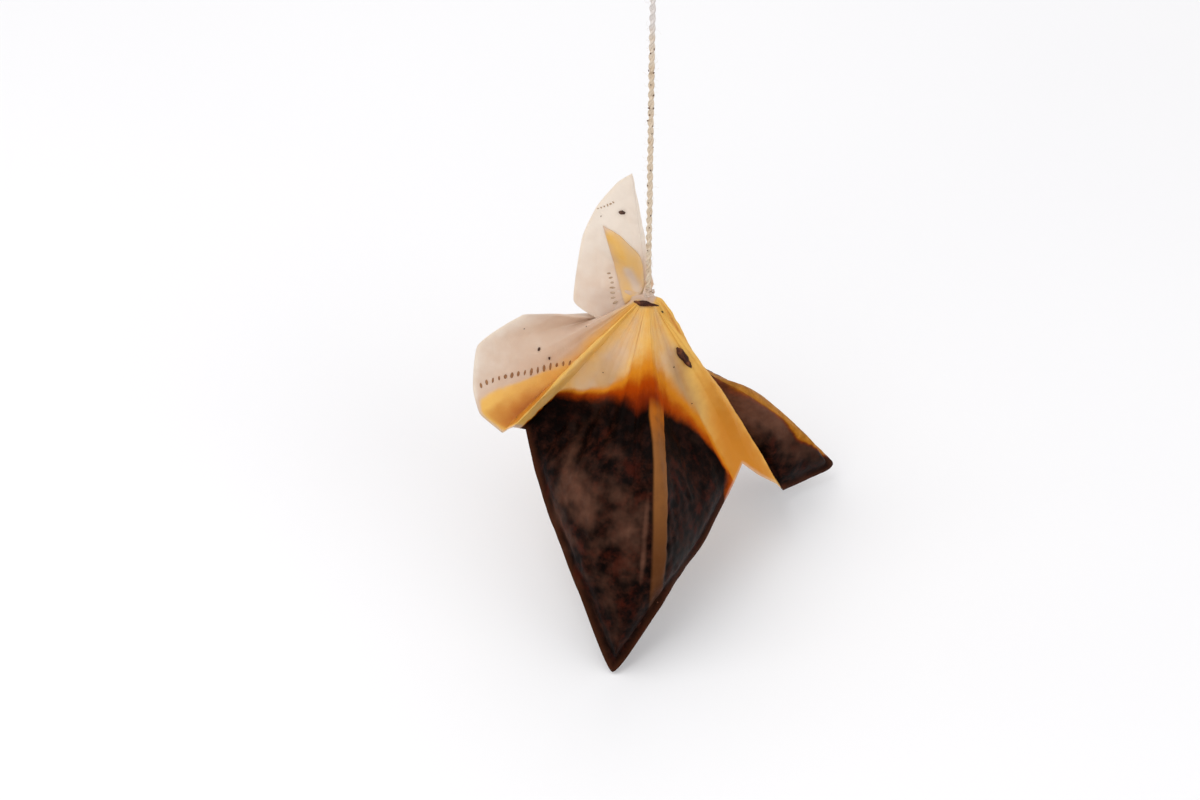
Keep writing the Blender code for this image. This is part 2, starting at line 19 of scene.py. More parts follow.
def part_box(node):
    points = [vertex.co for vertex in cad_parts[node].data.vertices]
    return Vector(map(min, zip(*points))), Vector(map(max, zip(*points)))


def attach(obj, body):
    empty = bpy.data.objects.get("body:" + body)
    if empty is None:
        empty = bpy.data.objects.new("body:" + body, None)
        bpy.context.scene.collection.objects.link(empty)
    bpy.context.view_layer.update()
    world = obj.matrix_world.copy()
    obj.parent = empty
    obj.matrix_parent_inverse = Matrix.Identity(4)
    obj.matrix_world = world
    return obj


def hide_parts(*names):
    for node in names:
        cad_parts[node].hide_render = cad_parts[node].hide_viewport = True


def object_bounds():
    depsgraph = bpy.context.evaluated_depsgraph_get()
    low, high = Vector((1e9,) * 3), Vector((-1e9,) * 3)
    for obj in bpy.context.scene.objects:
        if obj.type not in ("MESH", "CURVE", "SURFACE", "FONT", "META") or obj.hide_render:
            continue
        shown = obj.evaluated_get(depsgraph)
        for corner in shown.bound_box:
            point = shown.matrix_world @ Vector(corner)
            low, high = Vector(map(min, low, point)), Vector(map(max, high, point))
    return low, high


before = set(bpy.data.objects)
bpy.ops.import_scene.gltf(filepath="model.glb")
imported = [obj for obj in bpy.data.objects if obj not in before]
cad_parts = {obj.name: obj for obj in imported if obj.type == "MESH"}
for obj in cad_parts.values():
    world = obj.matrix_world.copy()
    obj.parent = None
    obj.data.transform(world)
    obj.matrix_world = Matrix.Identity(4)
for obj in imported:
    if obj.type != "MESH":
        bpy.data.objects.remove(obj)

bl_info = {
    "name": "Used Tea Bag",
    "version": (1, 0, 0),
    "blender": (4, 5, 0),
    "location": "3D View > Sidebar > Tea Bag",
    "description": "Dresses a used tea bag hanging on its string from a folded tag",
    "category": "Object",
}

MM = 0.001
CAD_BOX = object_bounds()
WELD = 1e-6  # points this close in metres are one point
TINY = 1e-12  # shortest length that still has a direction
# Seeds of what is strewn or sized at random.
FIBRE_SEED, LEAF_SEED, ROW_SEED, SPECK_SEED, DUST_SEED = 11, 21, 31, 41, 51
# First seeds of the paper's noise, and how far apart the noise of two seeds lies.
GATHER_SEED, WAVE_SEED, FINE_SEED, OUTER_SEED, INNER_SEED = 1, 3, 5, 6, 8
SEED_SHIFT = (17.3, 5.1, 29.7)

# The tie's middle, from the string that ends just above its knot.
STRING_FOOT = 4.35 * MM
STRING_LOW, STRING_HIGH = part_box("string")
TIE = Vector(((STRING_LOW.x + STRING_HIGH.x) / 2, (STRING_LOW.y + STRING_HIGH.y) / 2,
              STRING_LOW.z - STRING_FOOT))


def place(points):
    """Points in millimetres from the tie, in metres in the frame."""
    return np.asarray(points, dtype=float) * MM + np.array(TIE)


def tint(red, green, blue):
    """A colour picked on a 0 to 255 scale, in the renderer's linear values."""
    picked = np.array((red, green, blue)) / 255
    return tuple(float(c) for c in
                 np.where(picked <= 0.04045, picked / 12.92, ((picked + 0.055) / 1.055) ** 2.4))


# ------------------------------------------------------------ sizes and colours

def amount(name, description, default, **limits):
    return FloatProperty(name=name, description=description, default=default,
                         **{"min": 0.0, **limits})


def size(name, description, default):
    return amount(name, description, default, max=1.0, subtype="DISTANCE", unit="LENGTH",
                  precision=5)


def count(name, description, default, low, high):
    return IntProperty(name=name, description=description, default=default, min=low, max=high)


def colour(name, description, default):
    return FloatVectorProperty(name=name, description=description, default=default, size=3,
                               min=0.0, max=1.0, subtype="COLOR")


class StringSizes(PropertyGroup):
    diameter: size("Diameter", "Across both strands of the string", 0.95 * MM)
    twist_pitch: size("Twist", "Run of string in one turn of its strands", 3.2 * MM)
    fibre_length: size("Fibre length", "Longest loose fibre on the string", 0.9 * MM)
    fibre_density: amount("Fibres", "Loose fibres on each square metre of string", 1.5e6)
    stained: colour("Stained", "Cotton that the tea has reached", tint(232, 214, 190))
    clean: colour("Clean", "Cotton above the stain", tint(236, 230, 226))
    stain_top: size("Stain height", "How far up from the tie the stain reaches", 45 * MM)


class TieSizes(PropertyGroup):
    thread: size("Thread", "Across the string where it is pulled tight", 0.36 * MM)
    wraps: count("Wraps", "Turns of the string round the neck", 5, 2, 8)
    stained: colour("Stained", "Cotton held against the wet paper", tint(240, 220, 206))


class PaperSizes(PropertyGroup):
    half_thickness: size("Half thickness", "Half of two plies pressed together", 0.09 * MM)
    spacing: size("Grid spacing", "Between neighbouring columns at the rim", 0.5 * MM)
    rows: count("Rows", "Rows of paper from neck to rim", 92, 20, 140)
    gather_depth: size("Gathers", "Depth of the creases that run out from the neck", 0.22 * MM)
    wave_depth: size("Waves", "Depth of the paper's slow waves", 0.30 * MM)
    lump_depth: size("Lumps", "How far lumps of leaf push the paper out", 0.36 * MM)
    pleat_width: size("Pleat width", "Width of the doubled pleat down the front", 3.8 * MM)
    pleat_height: size("Pleat height", "How far the pleat stands up", 0.5 * MM)
    pale: colour("Pale paper", "Empty paper that has drained", tint(246, 238, 230))
    # The damp colour also stands in for painted shade on the wing.
    damp_and_shade: colour("Damp paper", "Single paper, still wet through", tint(222, 196, 177))
    soaked: colour("Soaked paper", "Doubled paper full of tea", tint(247, 198, 102))
    burnt: colour("Burnt orange", "Paper just above the leaves", tint(164, 60, 0))
    dark_leaf: colour("Dark leaves", "Leaves pressed to the paper", tint(10, 4, 3))
    light_leaf: colour("Light leaves", "Brown stalks and leaf backs", tint(64, 31, 21))
    pleat: colour("Pleat", "Doubled paper over the leaves", tint(138, 88, 46))


class LeafSizes(PropertyGroup):
    flake: size("Flake", "Length of one cut leaf", 1.5 * MM)
    density: amount("Flakes", "Flakes on each square metre of the clump", 6.0e5)
    dark: colour("Dark leaf", "Wet leaf", tint(50, 17, 4))
    light: colour("Light leaf", "Stalks and leaf backs", tint(116, 62, 30))


class MarkSizes(PropertyGroup):
    crimp_length: size("Crimp length", "Length of one mark of the crimping wheel", 1.2 * MM)
    crimp_width: size("Crimp width", "Width of one mark of the crimping wheel", 0.46 * MM)
    wing_count: count("Wing marks", "Marks across the left corner", 15, 2, 60)
    ear_count: count("Ear marks", "Marks down the upper corner", 7, 2, 60)
    brown: colour("Marks", "Tea dried into the marks", tint(160, 114, 72))
    faint: colour("Faint marks", "Marks with hardly any tea in them", tint(186, 160, 134))


class TagSizes(PropertyGroup):
    card: size("Card", "Thickness of the tag's card", 0.33 * MM)
    bow: size("Bow", "How far the card's sides curl out", 0.3 * MM)
    plain: colour("Card colour", "Unprinted card", tint(243, 238, 226))
    splash: colour("Splash", "Tea dried on the card's lower edge", tint(206, 164, 112))


class StageSizes(PropertyGroup):
    floor_gap: size("Floor gap", "From the bag's lowest point to the floor", 0.5 * MM)
    floor: colour("Floor colour", "Plain pale floor", tint(246, 245, 245))
    key_power: amount("Key light", "Power of the large soft light", 1.1, subtype="POWER",
                      unit="POWER")
    fill_power: amount("Fill lights", "Power of the lights from the right and from behind", 0.35,
                       subtype="POWER", unit="POWER")
    air: amount("Surroundings", "Brightness of the white room", 0.72, max=4.0, subtype="FACTOR")
    lens: amount("Lens", "Focal length in millimetres", 80.64, min=1.0)


SETTINGS = {
    "tea_bag_string": StringSizes,
    "tea_bag_tie": TieSizes,
    "tea_bag_paper": PaperSizes,
    "tea_bag_leaves": LeafSizes,
    "tea_bag_marks": MarkSizes,
    "tea_bag_tag": TagSizes,
    "tea_bag_stage": StageSizes,
}


# ------------------------------------------------------------ small shapes of curve

def grow(x, start, run, least=0.0):
    """Smooth rise from least at start to 1, a run further on."""
    x = np.clip((x - start) / run, 0.0, 1.0)
    rise = x * x * (3 - 2 * x)
    return least + (1 - least) * rise


def bulge(x, start, run):
    """Elliptic rise from 0 at start to 1, a run further on."""
    x = np.clip((x - start) / run, 0.0, 1.0)
    return np.sqrt(1 - (1 - x) ** 2)


def bell(x, width):
    """Fall from 1 at 0 to about a third at the width, and on to nothing."""
    return np.exp(-(x / width) ** 2)


def unit(vectors):
    return vectors / np.maximum(np.linalg.norm(vectors, axis=-1, keepdims=True), TINY)


# ------------------------------------------------------------ material maths

class Wire:
    """A node's output socket that can be added, subtracted and scaled like a number."""

    def __init__(self, finish, socket):
        self.finish = finish
        self.socket = socket

    def maths(self, operation, first, second, clamp=False):
        return self.finish.node("ShaderNodeMath", {"operation": operation, "use_clamp": clamp},
                                {0: first, 1: second})

    def __add__(self, other):
        return self.maths("ADD", self, other)

    def __sub__(self, other):
        return self.maths("SUBTRACT", self, other)

    def __rsub__(self, other):
        return self.maths("SUBTRACT", other, self)

    def __mul__(self, other):
        return self.maths("MULTIPLY", self, other)

    __radd__ = __add__
    __rmul__ = __mul__

    def rise(self, start, stop):
        """Smooth step from 0 at start to 1 at stop."""
        return self.finish.node(
            "ShaderNodeMapRange", {"interpolation_type": "SMOOTHSTEP"},
            {"Value": self, "From Min": start, "From Max": stop, "To Min": 0.0, "To Max": 1.0})

    def held(self):
        """Kept between 0 and 1."""
        return self.maths("ADD", self, 0.0, clamp=True)


class Finish:
    """One material: a shader on the Object coordinates, built a node at a time."""

    def __init__(self, name):
        self.material = bpy.data.materials.new(name)
        self.material.use_nodes = True
        self.tree = self.material.node_tree
        self.shader = self.tree.nodes["Principled BSDF"]
        self.out = self.tree.nodes["Material Output"]
        self.coords = self.tree.nodes.new("ShaderNodeTexCoord").outputs["Object"]

    def plug(self, socket, value):
        if isinstance(value, Wire):
            self.tree.links.new(value.socket, socket)
        elif isinstance(value, bpy.types.NodeSocket):
            self.tree.links.new(value, socket)
        elif isinstance(value, (tuple, Color)) and len(socket.default_value) == 4:
            socket.default_value = (*value, 1.0)
        else:
            socket.default_value = value

    def node(self, kind, settings, sockets, output=0):
        """A new node with its settings, then its sockets' values or links; gives its output."""
        made = self.tree.nodes.new(kind)
        for name, value in settings.items():
            setattr(made, name, value)
        for key, value in sockets.items():
            self.plug(made.inputs[key], value)
        return Wire(self, made.outputs[output])

    def attribute(self, name):
        return self.node("ShaderNodeAttribute", {"attribute_name": name}, {}, "Fac")

    def noise(self, grain, detail=3.0, roughness=0.55, squeeze=(1.0, 1.0, 1.0), twist=0.0):
        """Noise whose features are about grain metres across, stretched where squeeze is low."""
        moved = self.node("ShaderNodeMapping", {"vector_type": "POINT"},
                          {"Vector": self.coords, "Scale": squeeze})
        return self.node("ShaderNodeTexNoise", {"noise_dimensions": "3D"},
                         {"Vector": moved, "Scale": 1 / grain, "Detail": detail,
                          "Roughness": roughness, "Distortion": twist}, "Fac")

    def blend(self, factor, first, second):
        """Two colours mixed."""
        return self.node("ShaderNodeMix", {"data_type": "RGBA", "clamp_factor": True},
                         {"Factor": factor, 6: first, 7: second}, 2)

    def bump(self, height, depth, strength):
        return self.node("ShaderNodeBump", {},
                         {"Height": height, "Distance": depth, "Strength": strength}, "Normal")

    def surface(self, **sockets):
        """Plug the shader's own sockets, named with underscores for spaces."""
        for name, value in sockets.items():
            self.plug(self.shader.inputs[name.replace("_", " ")], value)

    def let_light_through(self, share_through, light_colour):
        """Mix in a thin sheet's glow; share_through may vary, the glow's colour doesn't."""
        glow = self.node("ShaderNodeBsdfTranslucent", {}, {"Color": light_colour})
        both = self.node("ShaderNodeMixShader", {},
                         {"Fac": share_through, 1: self.shader.outputs[0], 2: glow})
        self.plug(self.out.inputs["Surface"], both)


# ------------------------------------------------------------ meshes

def write_levels(mesh, kind, field_name, table):
    """Values for each of a mesh's points, under the names they are read by."""
    for name, values in (table or {}).items():
        mesh.attributes.new(name, kind, "POINT").data.foreach_set(
            field_name, np.asarray(values, dtype=np.float32).ravel())


def shown(name, mesh):
    """A piece in the scene that carries the mesh."""
    piece = bpy.data.objects.new(name, mesh)
    bpy.context.scene.collection.objects.link(piece)
    return piece


def new_piece(name, points, faces, finish, levels=None):
    """A closed mesh, facing outwards, with its levels as attributes."""
    mesh = bpy.data.meshes.new(name)
    mesh.from_pydata([tuple(point) for point in points], [], [tuple(face) for face in faces])
    write_levels(mesh, "FLOAT", "value", levels)
    work = bmesh.new()
    work.from_mesh(mesh)
    bmesh.ops.recalc_face_normals(work, faces=work.faces)
    work.to_mesh(mesh)
    work.free()
    mesh.shade_smooth()
    mesh.materials.append(finish)
    return shown(name, mesh)


def roughened(node, cuts, least, waves):
    """A copy of a node's solid, cut finer and moved outwards, in millimetres, by least and
    by noise: its depth and rate for each wave."""
    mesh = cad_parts[node].data.copy()
    work = bmesh.new()
    work.from_mesh(mesh)
    bmesh.ops.remove_doubles(work, verts=work.verts, dist=WELD)
    bmesh.ops.subdivide_edges(work, edges=work.edges, cuts=cuts, use_grid_fill=True)
    work.normal_update()
    for vertex in work.verts:
        spot = vertex.co / MM
        push = sum((depth * noise.noise(spot * rate) for depth, rate in waves), least)
        vertex.co += vertex.normal * push * MM
    work.to_mesh(mesh)
    work.free()
    return mesh


def slab_faces(rows, columns):
    """Faces of two grids of points, front then back, closed round their border."""
    front = np.arange(rows * columns).reshape(rows, columns)
    under = front.size
    quads = np.stack([front[:-1, :-1], front[:-1, 1:], front[1:, 1:], front[1:, :-1]], axis=-1)
    both = np.stack([quads, quads[..., [0, 3, 2, 1]] + under], axis=2)
    border = np.concatenate([front[0], front[1:, -1], front[-1, -2::-1], front[-2:0:-1, 0]])
    ahead = np.roll(border, -1)
    side = np.stack([ahead, border, border + under, ahead + under], axis=-1)
    return [tuple(face) for face in both.reshape(-1, 4).tolist() + side.tolist()]


def tube_faces(rows):
    """Faces of a tube from its rows of point numbers, with both ends closed."""
    sides = len(rows[0])
    faces = [(low[k], low[(k + 1) % sides], high[(k + 1) % sides], high[k])
             for low, high in zip(rows, rows[1:]) for k in range(sides)]
    return faces + [tuple(rows[0][::-1]), tuple(rows[-1])]


def carried_frames(path):
    """Two directions across a path at each of its points, carried along without a twist."""
    way = unit(np.gradient(path, axis=0))
    side = np.cross(way[0], SIDEWAYS)
    first = []
    for ahead in way:
        side = unit(side - ahead * (side @ ahead))
        first.append(side)
    first = np.array(first)
    return first, np.cross(way, first)


# A strand's distance from the string's middle and its radius, as shares of the string's
# thickness, how much its thickness varies and over how many turns, and how far its
# fibres lean in one turn.
STRAND_OFF, STRAND_RADIUS, STRAND_UNEVEN, STRAND_GRAIN, STRAND_LEAN = 0.18, 0.30, 0.10, 0.9, 1.5
SIDEWAYS = (0.3, 1.0, 0.2)  # any way that no path starts along


def twisted_pair(path, thread, pitch, sides):
    """Points, faces and levels of two strands twisted round a path, in millimetres."""
    path = np.asarray(path, dtype=float)
    steps = np.linalg.norm(np.diff(path, axis=0), axis=1)
    along = np.concatenate([[0], np.cumsum(steps)])
    turns = along / pitch
    first, second = carried_frames(path)
    points, faces, turned = [], [], []
    for number in (0, 1):
        rows = []
        phase = tau * (turns + number / 2)
        for k, centre in enumerate(path):
            out = first[k] * cos(phase[k]) + second[k] * sin(phase[k])
            aside = first[k] * -sin(phase[k]) + second[k] * cos(phase[k])
            uneven = 1 + STRAND_UNEVEN * noise.noise(
                Vector((along[k] * STRAND_GRAIN, number * 7.0, 3.0)))
            middle = centre + out * thread * STRAND_OFF
            radius = thread * STRAND_RADIUS * uneven
            rows.append(list(range(len(points), len(points) + sides)))
            for j in range(sides):
                angle = tau * j / sides
                points.append(middle + radius * (out * cos(angle) + aside * sin(angle)))
                turned.append(j / sides + turns[k] * STRAND_LEAN)
        faces += tube_faces(rows)
    return points, faces, {"thread_turn": turned}


# ------------------------------------------------------------ geometry trees

class Tree:
    """A geometry tree with named inputs, built a node at a time."""

    def __init__(self, name, finish, seed, **numbers):
        self.group = bpy.data.node_groups.new(name, "GeometryNodeTree")
        face = self.group.interface
        face.new_socket("Geometry", in_out="INPUT", socket_type="NodeSocketGeometry")
        face.new_socket("Geometry", in_out="OUTPUT", socket_type="NodeSocketGeometry")
        self.values = {}
        for label, value in (*numbers.items(), ("Seed", seed)):
            kind = "NodeSocketInt" if isinstance(value, int) else "NodeSocketFloat"
            socket = face.new_socket(label, in_out="INPUT", socket_type=kind)
            socket.default_value = value
            self.values[socket.identifier] = value
        socket = face.new_socket("Finish", in_out="INPUT", socket_type="NodeSocketMaterial")
        self.values[socket.identifier] = finish
        self.given = self.group.nodes.new("NodeGroupInput").outputs
        self.result = self.group.nodes.new("NodeGroupOutput").inputs[0]

    def add(self, kind, settings=None, **sockets):
        """A node; sockets are named with underscores for spaces, or as s0, s1 by number."""
        made = self.group.nodes.new(kind)
        for name, value in (settings or {}).items():
            setattr(made, name, value)
        for name, value in sockets.items():
            by_number = name[0] == "s" and name[1:].isdigit()
            socket = made.inputs[int(name[1:]) if by_number else name.replace("_", " ")]
            if isinstance(value, bpy.types.NodeSocket):
                self.group.links.new(value, socket)
            else:
                socket.default_value = value
        return made

    def maths(self, operation, first, second):
        return self.add("ShaderNodeMath", {"operation": operation}, s0=first,
                        s1=second).outputs[0]

    def read(self, name, kind="FLOAT_VECTOR"):
        """The points' own values under this name."""
        return self.add("GeometryNodeInputNamedAttribute", {"data_type": kind},
                        Name=name).outputs[0]

    def random(self, low, high):
        return self.add("FunctionNodeRandomValue", {"data_type": "FLOAT_VECTOR"}, s0=low, s1=high,
                        Seed=self.given["Seed"]).outputs[0]

    def spun(self, rotation, tilt):
        """The rotation spun at random about its own upright, and tilted a little."""
        turn = self.random((-tilt, -tilt, 0.0), (tilt, tilt, tau))
        return self.add("FunctionNodeRotateRotation", {"rotation_space": "LOCAL"},
                        Rotation=rotation, Rotate_By=turn).outputs[0]

    def strewn(self, shape, tilt, least, shape_length):
        """The shape over the given mesh, each copy turned and sized at random."""
        spots = self.add("GeometryNodeDistributePointsOnFaces", {"distribute_method": "RANDOM"},
                         Mesh=self.given["Geometry"], Density=self.given["Density"],
                         Seed=self.given["Seed"]).outputs
        part = self.add("FunctionNodeRandomValue", {"data_type": "FLOAT"}, s2=least, s3=1.0,
                        Seed=self.maths("ADD", self.given["Seed"], 1.0)).outputs[1]
        length = self.maths("MULTIPLY", part, self.given["Length"])
        return self.add("GeometryNodeInstanceOnPoints", Points=spots["Points"], Instance=shape,
                        Rotation=self.spun(spots["Rotation"], tilt),
                        Scale=self.maths("DIVIDE", length, shape_length)).outputs[0]

    def finish(self, geometry):
        real = self.add("GeometryNodeRealizeInstances", Geometry=geometry)
        done = self.add("GeometryNodeSetMaterial", Geometry=real.outputs[0],
                        Material=self.given["Finish"])
        self.group.links.new(done.outputs[0], self.result)
        return self


def grown(tree, source, name):
    """The tree's result on a copy of the source mesh, as a plain mesh piece."""
    carrier = bpy.data.objects.new(name + "_base", source)
    bpy.context.scene.collection.objects.link(carrier)
    step = carrier.modifiers.new("grow", "NODES")
    step.node_group = tree.group
    for identifier, value in tree.values.items():
        step[identifier] = value
    depsgraph = bpy.context.evaluated_depsgraph_get()
    mesh = bpy.data.meshes.new_from_object(carrier.evaluated_get(depsgraph), depsgraph=depsgraph)
    bpy.data.objects.remove(carrier)
    mesh.name = name
    mesh.shade_smooth()
    return shown(name, mesh)


def spots_mesh(name, points, vectors, numbers=None, edges=()):
    """Bare points that carry vectors and numbers for a tree to read."""
    mesh = bpy.data.meshes.new(name)
    mesh.from_pydata([tuple(point) for point in points], list(edges), [])
    write_levels(mesh, "FLOAT_VECTOR", "vector", vectors)
    write_levels(mesh, "FLOAT", "value", numbers)
    return mesh


# A grain's depth and width as shares of its length, how far it tilts, and how coarse and
# how deep its ragged edge is.
GRAIN_DEPTH, GRAIN_WIDTH, GRAIN_TILT, GRAIN_RATE, GRAIN_RAGGED = 0.35, 0.7, 0.1, 3.0, 0.35


def speck_tree(finish, seed):
    """Ragged grains, one at each point, as wide as the point says."""
    tree = Tree("specks", finish, seed, Flatness=GRAIN_DEPTH)
    spots = tree.add("GeometryNodeMeshToPoints", Mesh=tree.given["Geometry"])
    up = tree.add("FunctionNodeAlignRotationToVector", {"axis": "Z"},
                  Vector=tree.read("out_of_paper"))
    ball = tree.add("GeometryNodeMeshIcoSphere", Radius=0.5, Subdivisions=3)
    shape = tree.add("ShaderNodeCombineXYZ", X=1.0, Y=GRAIN_WIDTH, Z=tree.given["Flatness"])
    flat = tree.add("GeometryNodeTransform", Geometry=ball.outputs[0], Scale=shape.outputs[0])
    rough = tree.add("ShaderNodeTexNoise", Scale=GRAIN_RATE, Detail=2.0)
    push = tree.add("ShaderNodeVectorMath", {"operation": "SCALE"}, s0=rough.outputs["Color"],
                    Scale=GRAIN_RAGGED)
    ragged = tree.add("GeometryNodeSetPosition", Geometry=flat.outputs[0], Offset=push.outputs[0])
    grains = tree.add("GeometryNodeInstanceOnPoints", Points=spots.outputs[0],
                      Instance=ragged.outputs[0], Rotation=tree.spun(up.outputs[0], GRAIN_TILT),
                      Scale=tree.read("wide", "FLOAT"))
    return tree.finish(grains.outputs[0])


# ------------------------------------------------------------ the bag's folded sheet

NECK_R, NECK_Z = 0.7, 0.6  # where the paper leaves the tie: radius and height, in mm
HEEL, HEEL_V = 2.4, 0.08  # how far out it runs straight, in mm, and that spot's reach
UPRIGHT = 0.2  # how much higher the upper ear's heels stand, in mm
TURN = 0.25  # how roundly the paper passes over a guide
SEAL = 1.4  # width of the rim's flat seal, in mm
EDGE_ROUND, LINE_ROUND = 9.0, 13.0  # how far in from the seal and the leaves' line it fills
ENDS_ROUND = 0.6  # how many guides in from its sides a pouch fills
VEIN, VEIN_WIDTH = 0.55, 1.5  # half thickness and width of the open pleat under the gather
VEIN_FROM, VEIN_PAST = 0.05, 0.2  # reach it starts at, and how far it runs past the leaves' line
RIM = np.array([1.0])  # the rim's reach
NO_LEAF, DEEPEST = -9.0, 40.0  # the least and the greatest depth behind the leaves' edge
FAR = 30.0  # further than any spot on the paper matters, in mm
RIM_STEP = 0.05  # between points along the rim, in guides
NEAR_GUIDES = 4  # how many guides away a line still counts
LIFT_SMOOTHINGS, NORMAL_SMOOTHINGS = 4, 2  # how often the ways out of the paper are evened
GAP_MOST = 6.0  # the greatest distance from the rim that the finish is told, in mm
NEAR_SPOTS, NEAR_SOFT = 6, 0.01  # how many spots the front's depth is read from, and blended

# Guides round the neck: name, bearing in degrees where it is set, rim point in mm from the
# tie, lift off the straight run, and the reach at which the leaves begin.
GUIDES = (
    ("ear_edge", 95, (-2.5, 5.0, 19.5), 0.0, 1),
    ("ear_tip", None, (-4.7, 5.5, 17.4), 0.3, 1),
    ("ear_fold", None, (-7.6, 5.0, 13.5), 0.9, 1),
    ("ear_side", None, (-9.8, 4.5, 8.0), -0.3, 1),
    ("ear_low", None, (-11.1, 2.0, -2.1), 0.0, 1),
    ("ear_corner", 150, (-6.7, -0.2, -4.65), 0.3, 1),
    ("ear_turn", 155, (-9.5, 3.5, -0.3), 0.0, 1),
    ("ears_valley", 162, (-7.4, 10.0, -12.2), -0.8, 1),
    ("wing_fold", 174, (-18.8, -1.6, -2.0), 0.0, 1),
    ("wing_corner", 185, (-25.5, -3.0, -6.7), -0.8, 1),
    ("wing_side", None, (-26.4, -4.5, -14.0), -1.2, 1),
    ("wing_bend", None, (-25.4, -6.0, -18.0), -1.6, 1),
    ("trough", None, (-22.3, -6.0, -21.8), -1.2, 1),
    ("strip", 214, (-20.3, -10.0, -17.0), 0.9, 1),
    ("front_side", 224, (-18.5, -7.0, -20.2), 0.4, 1),
    ("front_1", None, (-17.1, -11.0, -25.0), -0.5, 0.76),
    ("front_2", None, (-14.4, -18.0, -29.8), -1.0, 0.47),
    ("front_3", None, (-10.5, -26.0, -35.7), -0.6, 0.36),
    ("front_tip", 268, (-5.3, -33.0, -46.3), 0.4, 0.29),
    ("front_pleat", None, (1.5, -28.0, -38.4), 1.1, 0.32),
    ("front_4", None, (3.7, -25.0, -36.3), 0.1, 0.40),
    ("front_5", None, (8.2, -17.0, -35.8), -0.8, 0.50),
    ("front_6", None, (12.2, -10.0, -32.4), -0.5, 0.72),
    ("notch", 305, (14.8, -5.5, -28.8), 0.7, 1),
    ("band", 313, (17.5, -5.0, -31.8), 1.7, 1),
    ("band_edge", None, (20.9, -2.5, -36.2), 1.0, 1),
    ("rear_inner", 330, (22.4, 3.0, -42.9), -3.6, 0.60),
    ("rear_low", None, (26.5, 6.5, -43.8), -4.0, 0.44),
    ("rear_tip", 348, (30.5, 9.0, -42.4), -4.6, 0.38),
    ("rear_top", None, (19.8, 11.5, -31.5), -3.6, 0.52),
    ("rear_valley", 375, (8.3, 13.0, -25.5), -1.2, 1),
    ("back", 400, (-3.0, 12.0, -8.0), 0.0, 1),
    ("ear_back", 430, (-1.0, 8.5, 8.0), 0.0, 1),
)
UPRIGHT_EAR = ("ear_back", "ear_edge", "ear_tip", "ear_fold", "ear_side")
FOLDS = ("ear_edge", "ear_corner", "ear_turn", "ears_valley", "wing_fold", "trough", "strip",
         "front_side", "notch", "band", "band_edge", "rear_inner", "rear_top", "rear_valley",
         "back", "ear_back")
NAMES = [guide[0] for guide in GUIDES]
COUNT = len(GUIDES)
# How far these guides sag on their way out, in millimetres.
SAGS = {"wing_fold": (0.0, 1.6, -4.4), "wing_corner": (0.0, 1.8, -3.0)}

# The gathered paper that stands up through the tie: radius, height and how deep its
# gathers are, from the top down, and the heights that close its top and its inside.
NECK_COLLAR = ((0.08, 1.5, 0.4), (0.16, 1.45, 0.6), (0.28, 1.3, 0.8), (0.42, 1.1, 0.8),
               (0.55, 0.9, 0.8), (0.64, 0.74, 0.6))
NECK_TOP, NECK_INSIDE = 1.52, 0.15
# The gathers round it: depth, how many, and where they start.
COLLAR_PLEATS = ((0.10, 9, 0), (0.05, 17, 1))

# Where the leaves lie: first and last guide, guide the open pleat follows, half thickness,
# and the way the paper swells.
POUCHES = (
    ("front_side", "notch", NAMES.index("front_tip") + 0.6, 5.6, (0.05, -0.8, 0.6)),
    ("rear_inner", "rear_top", NAMES.index("rear_low") + 0.5, 4.2, (0.5, -0.3, 0.8)),
)
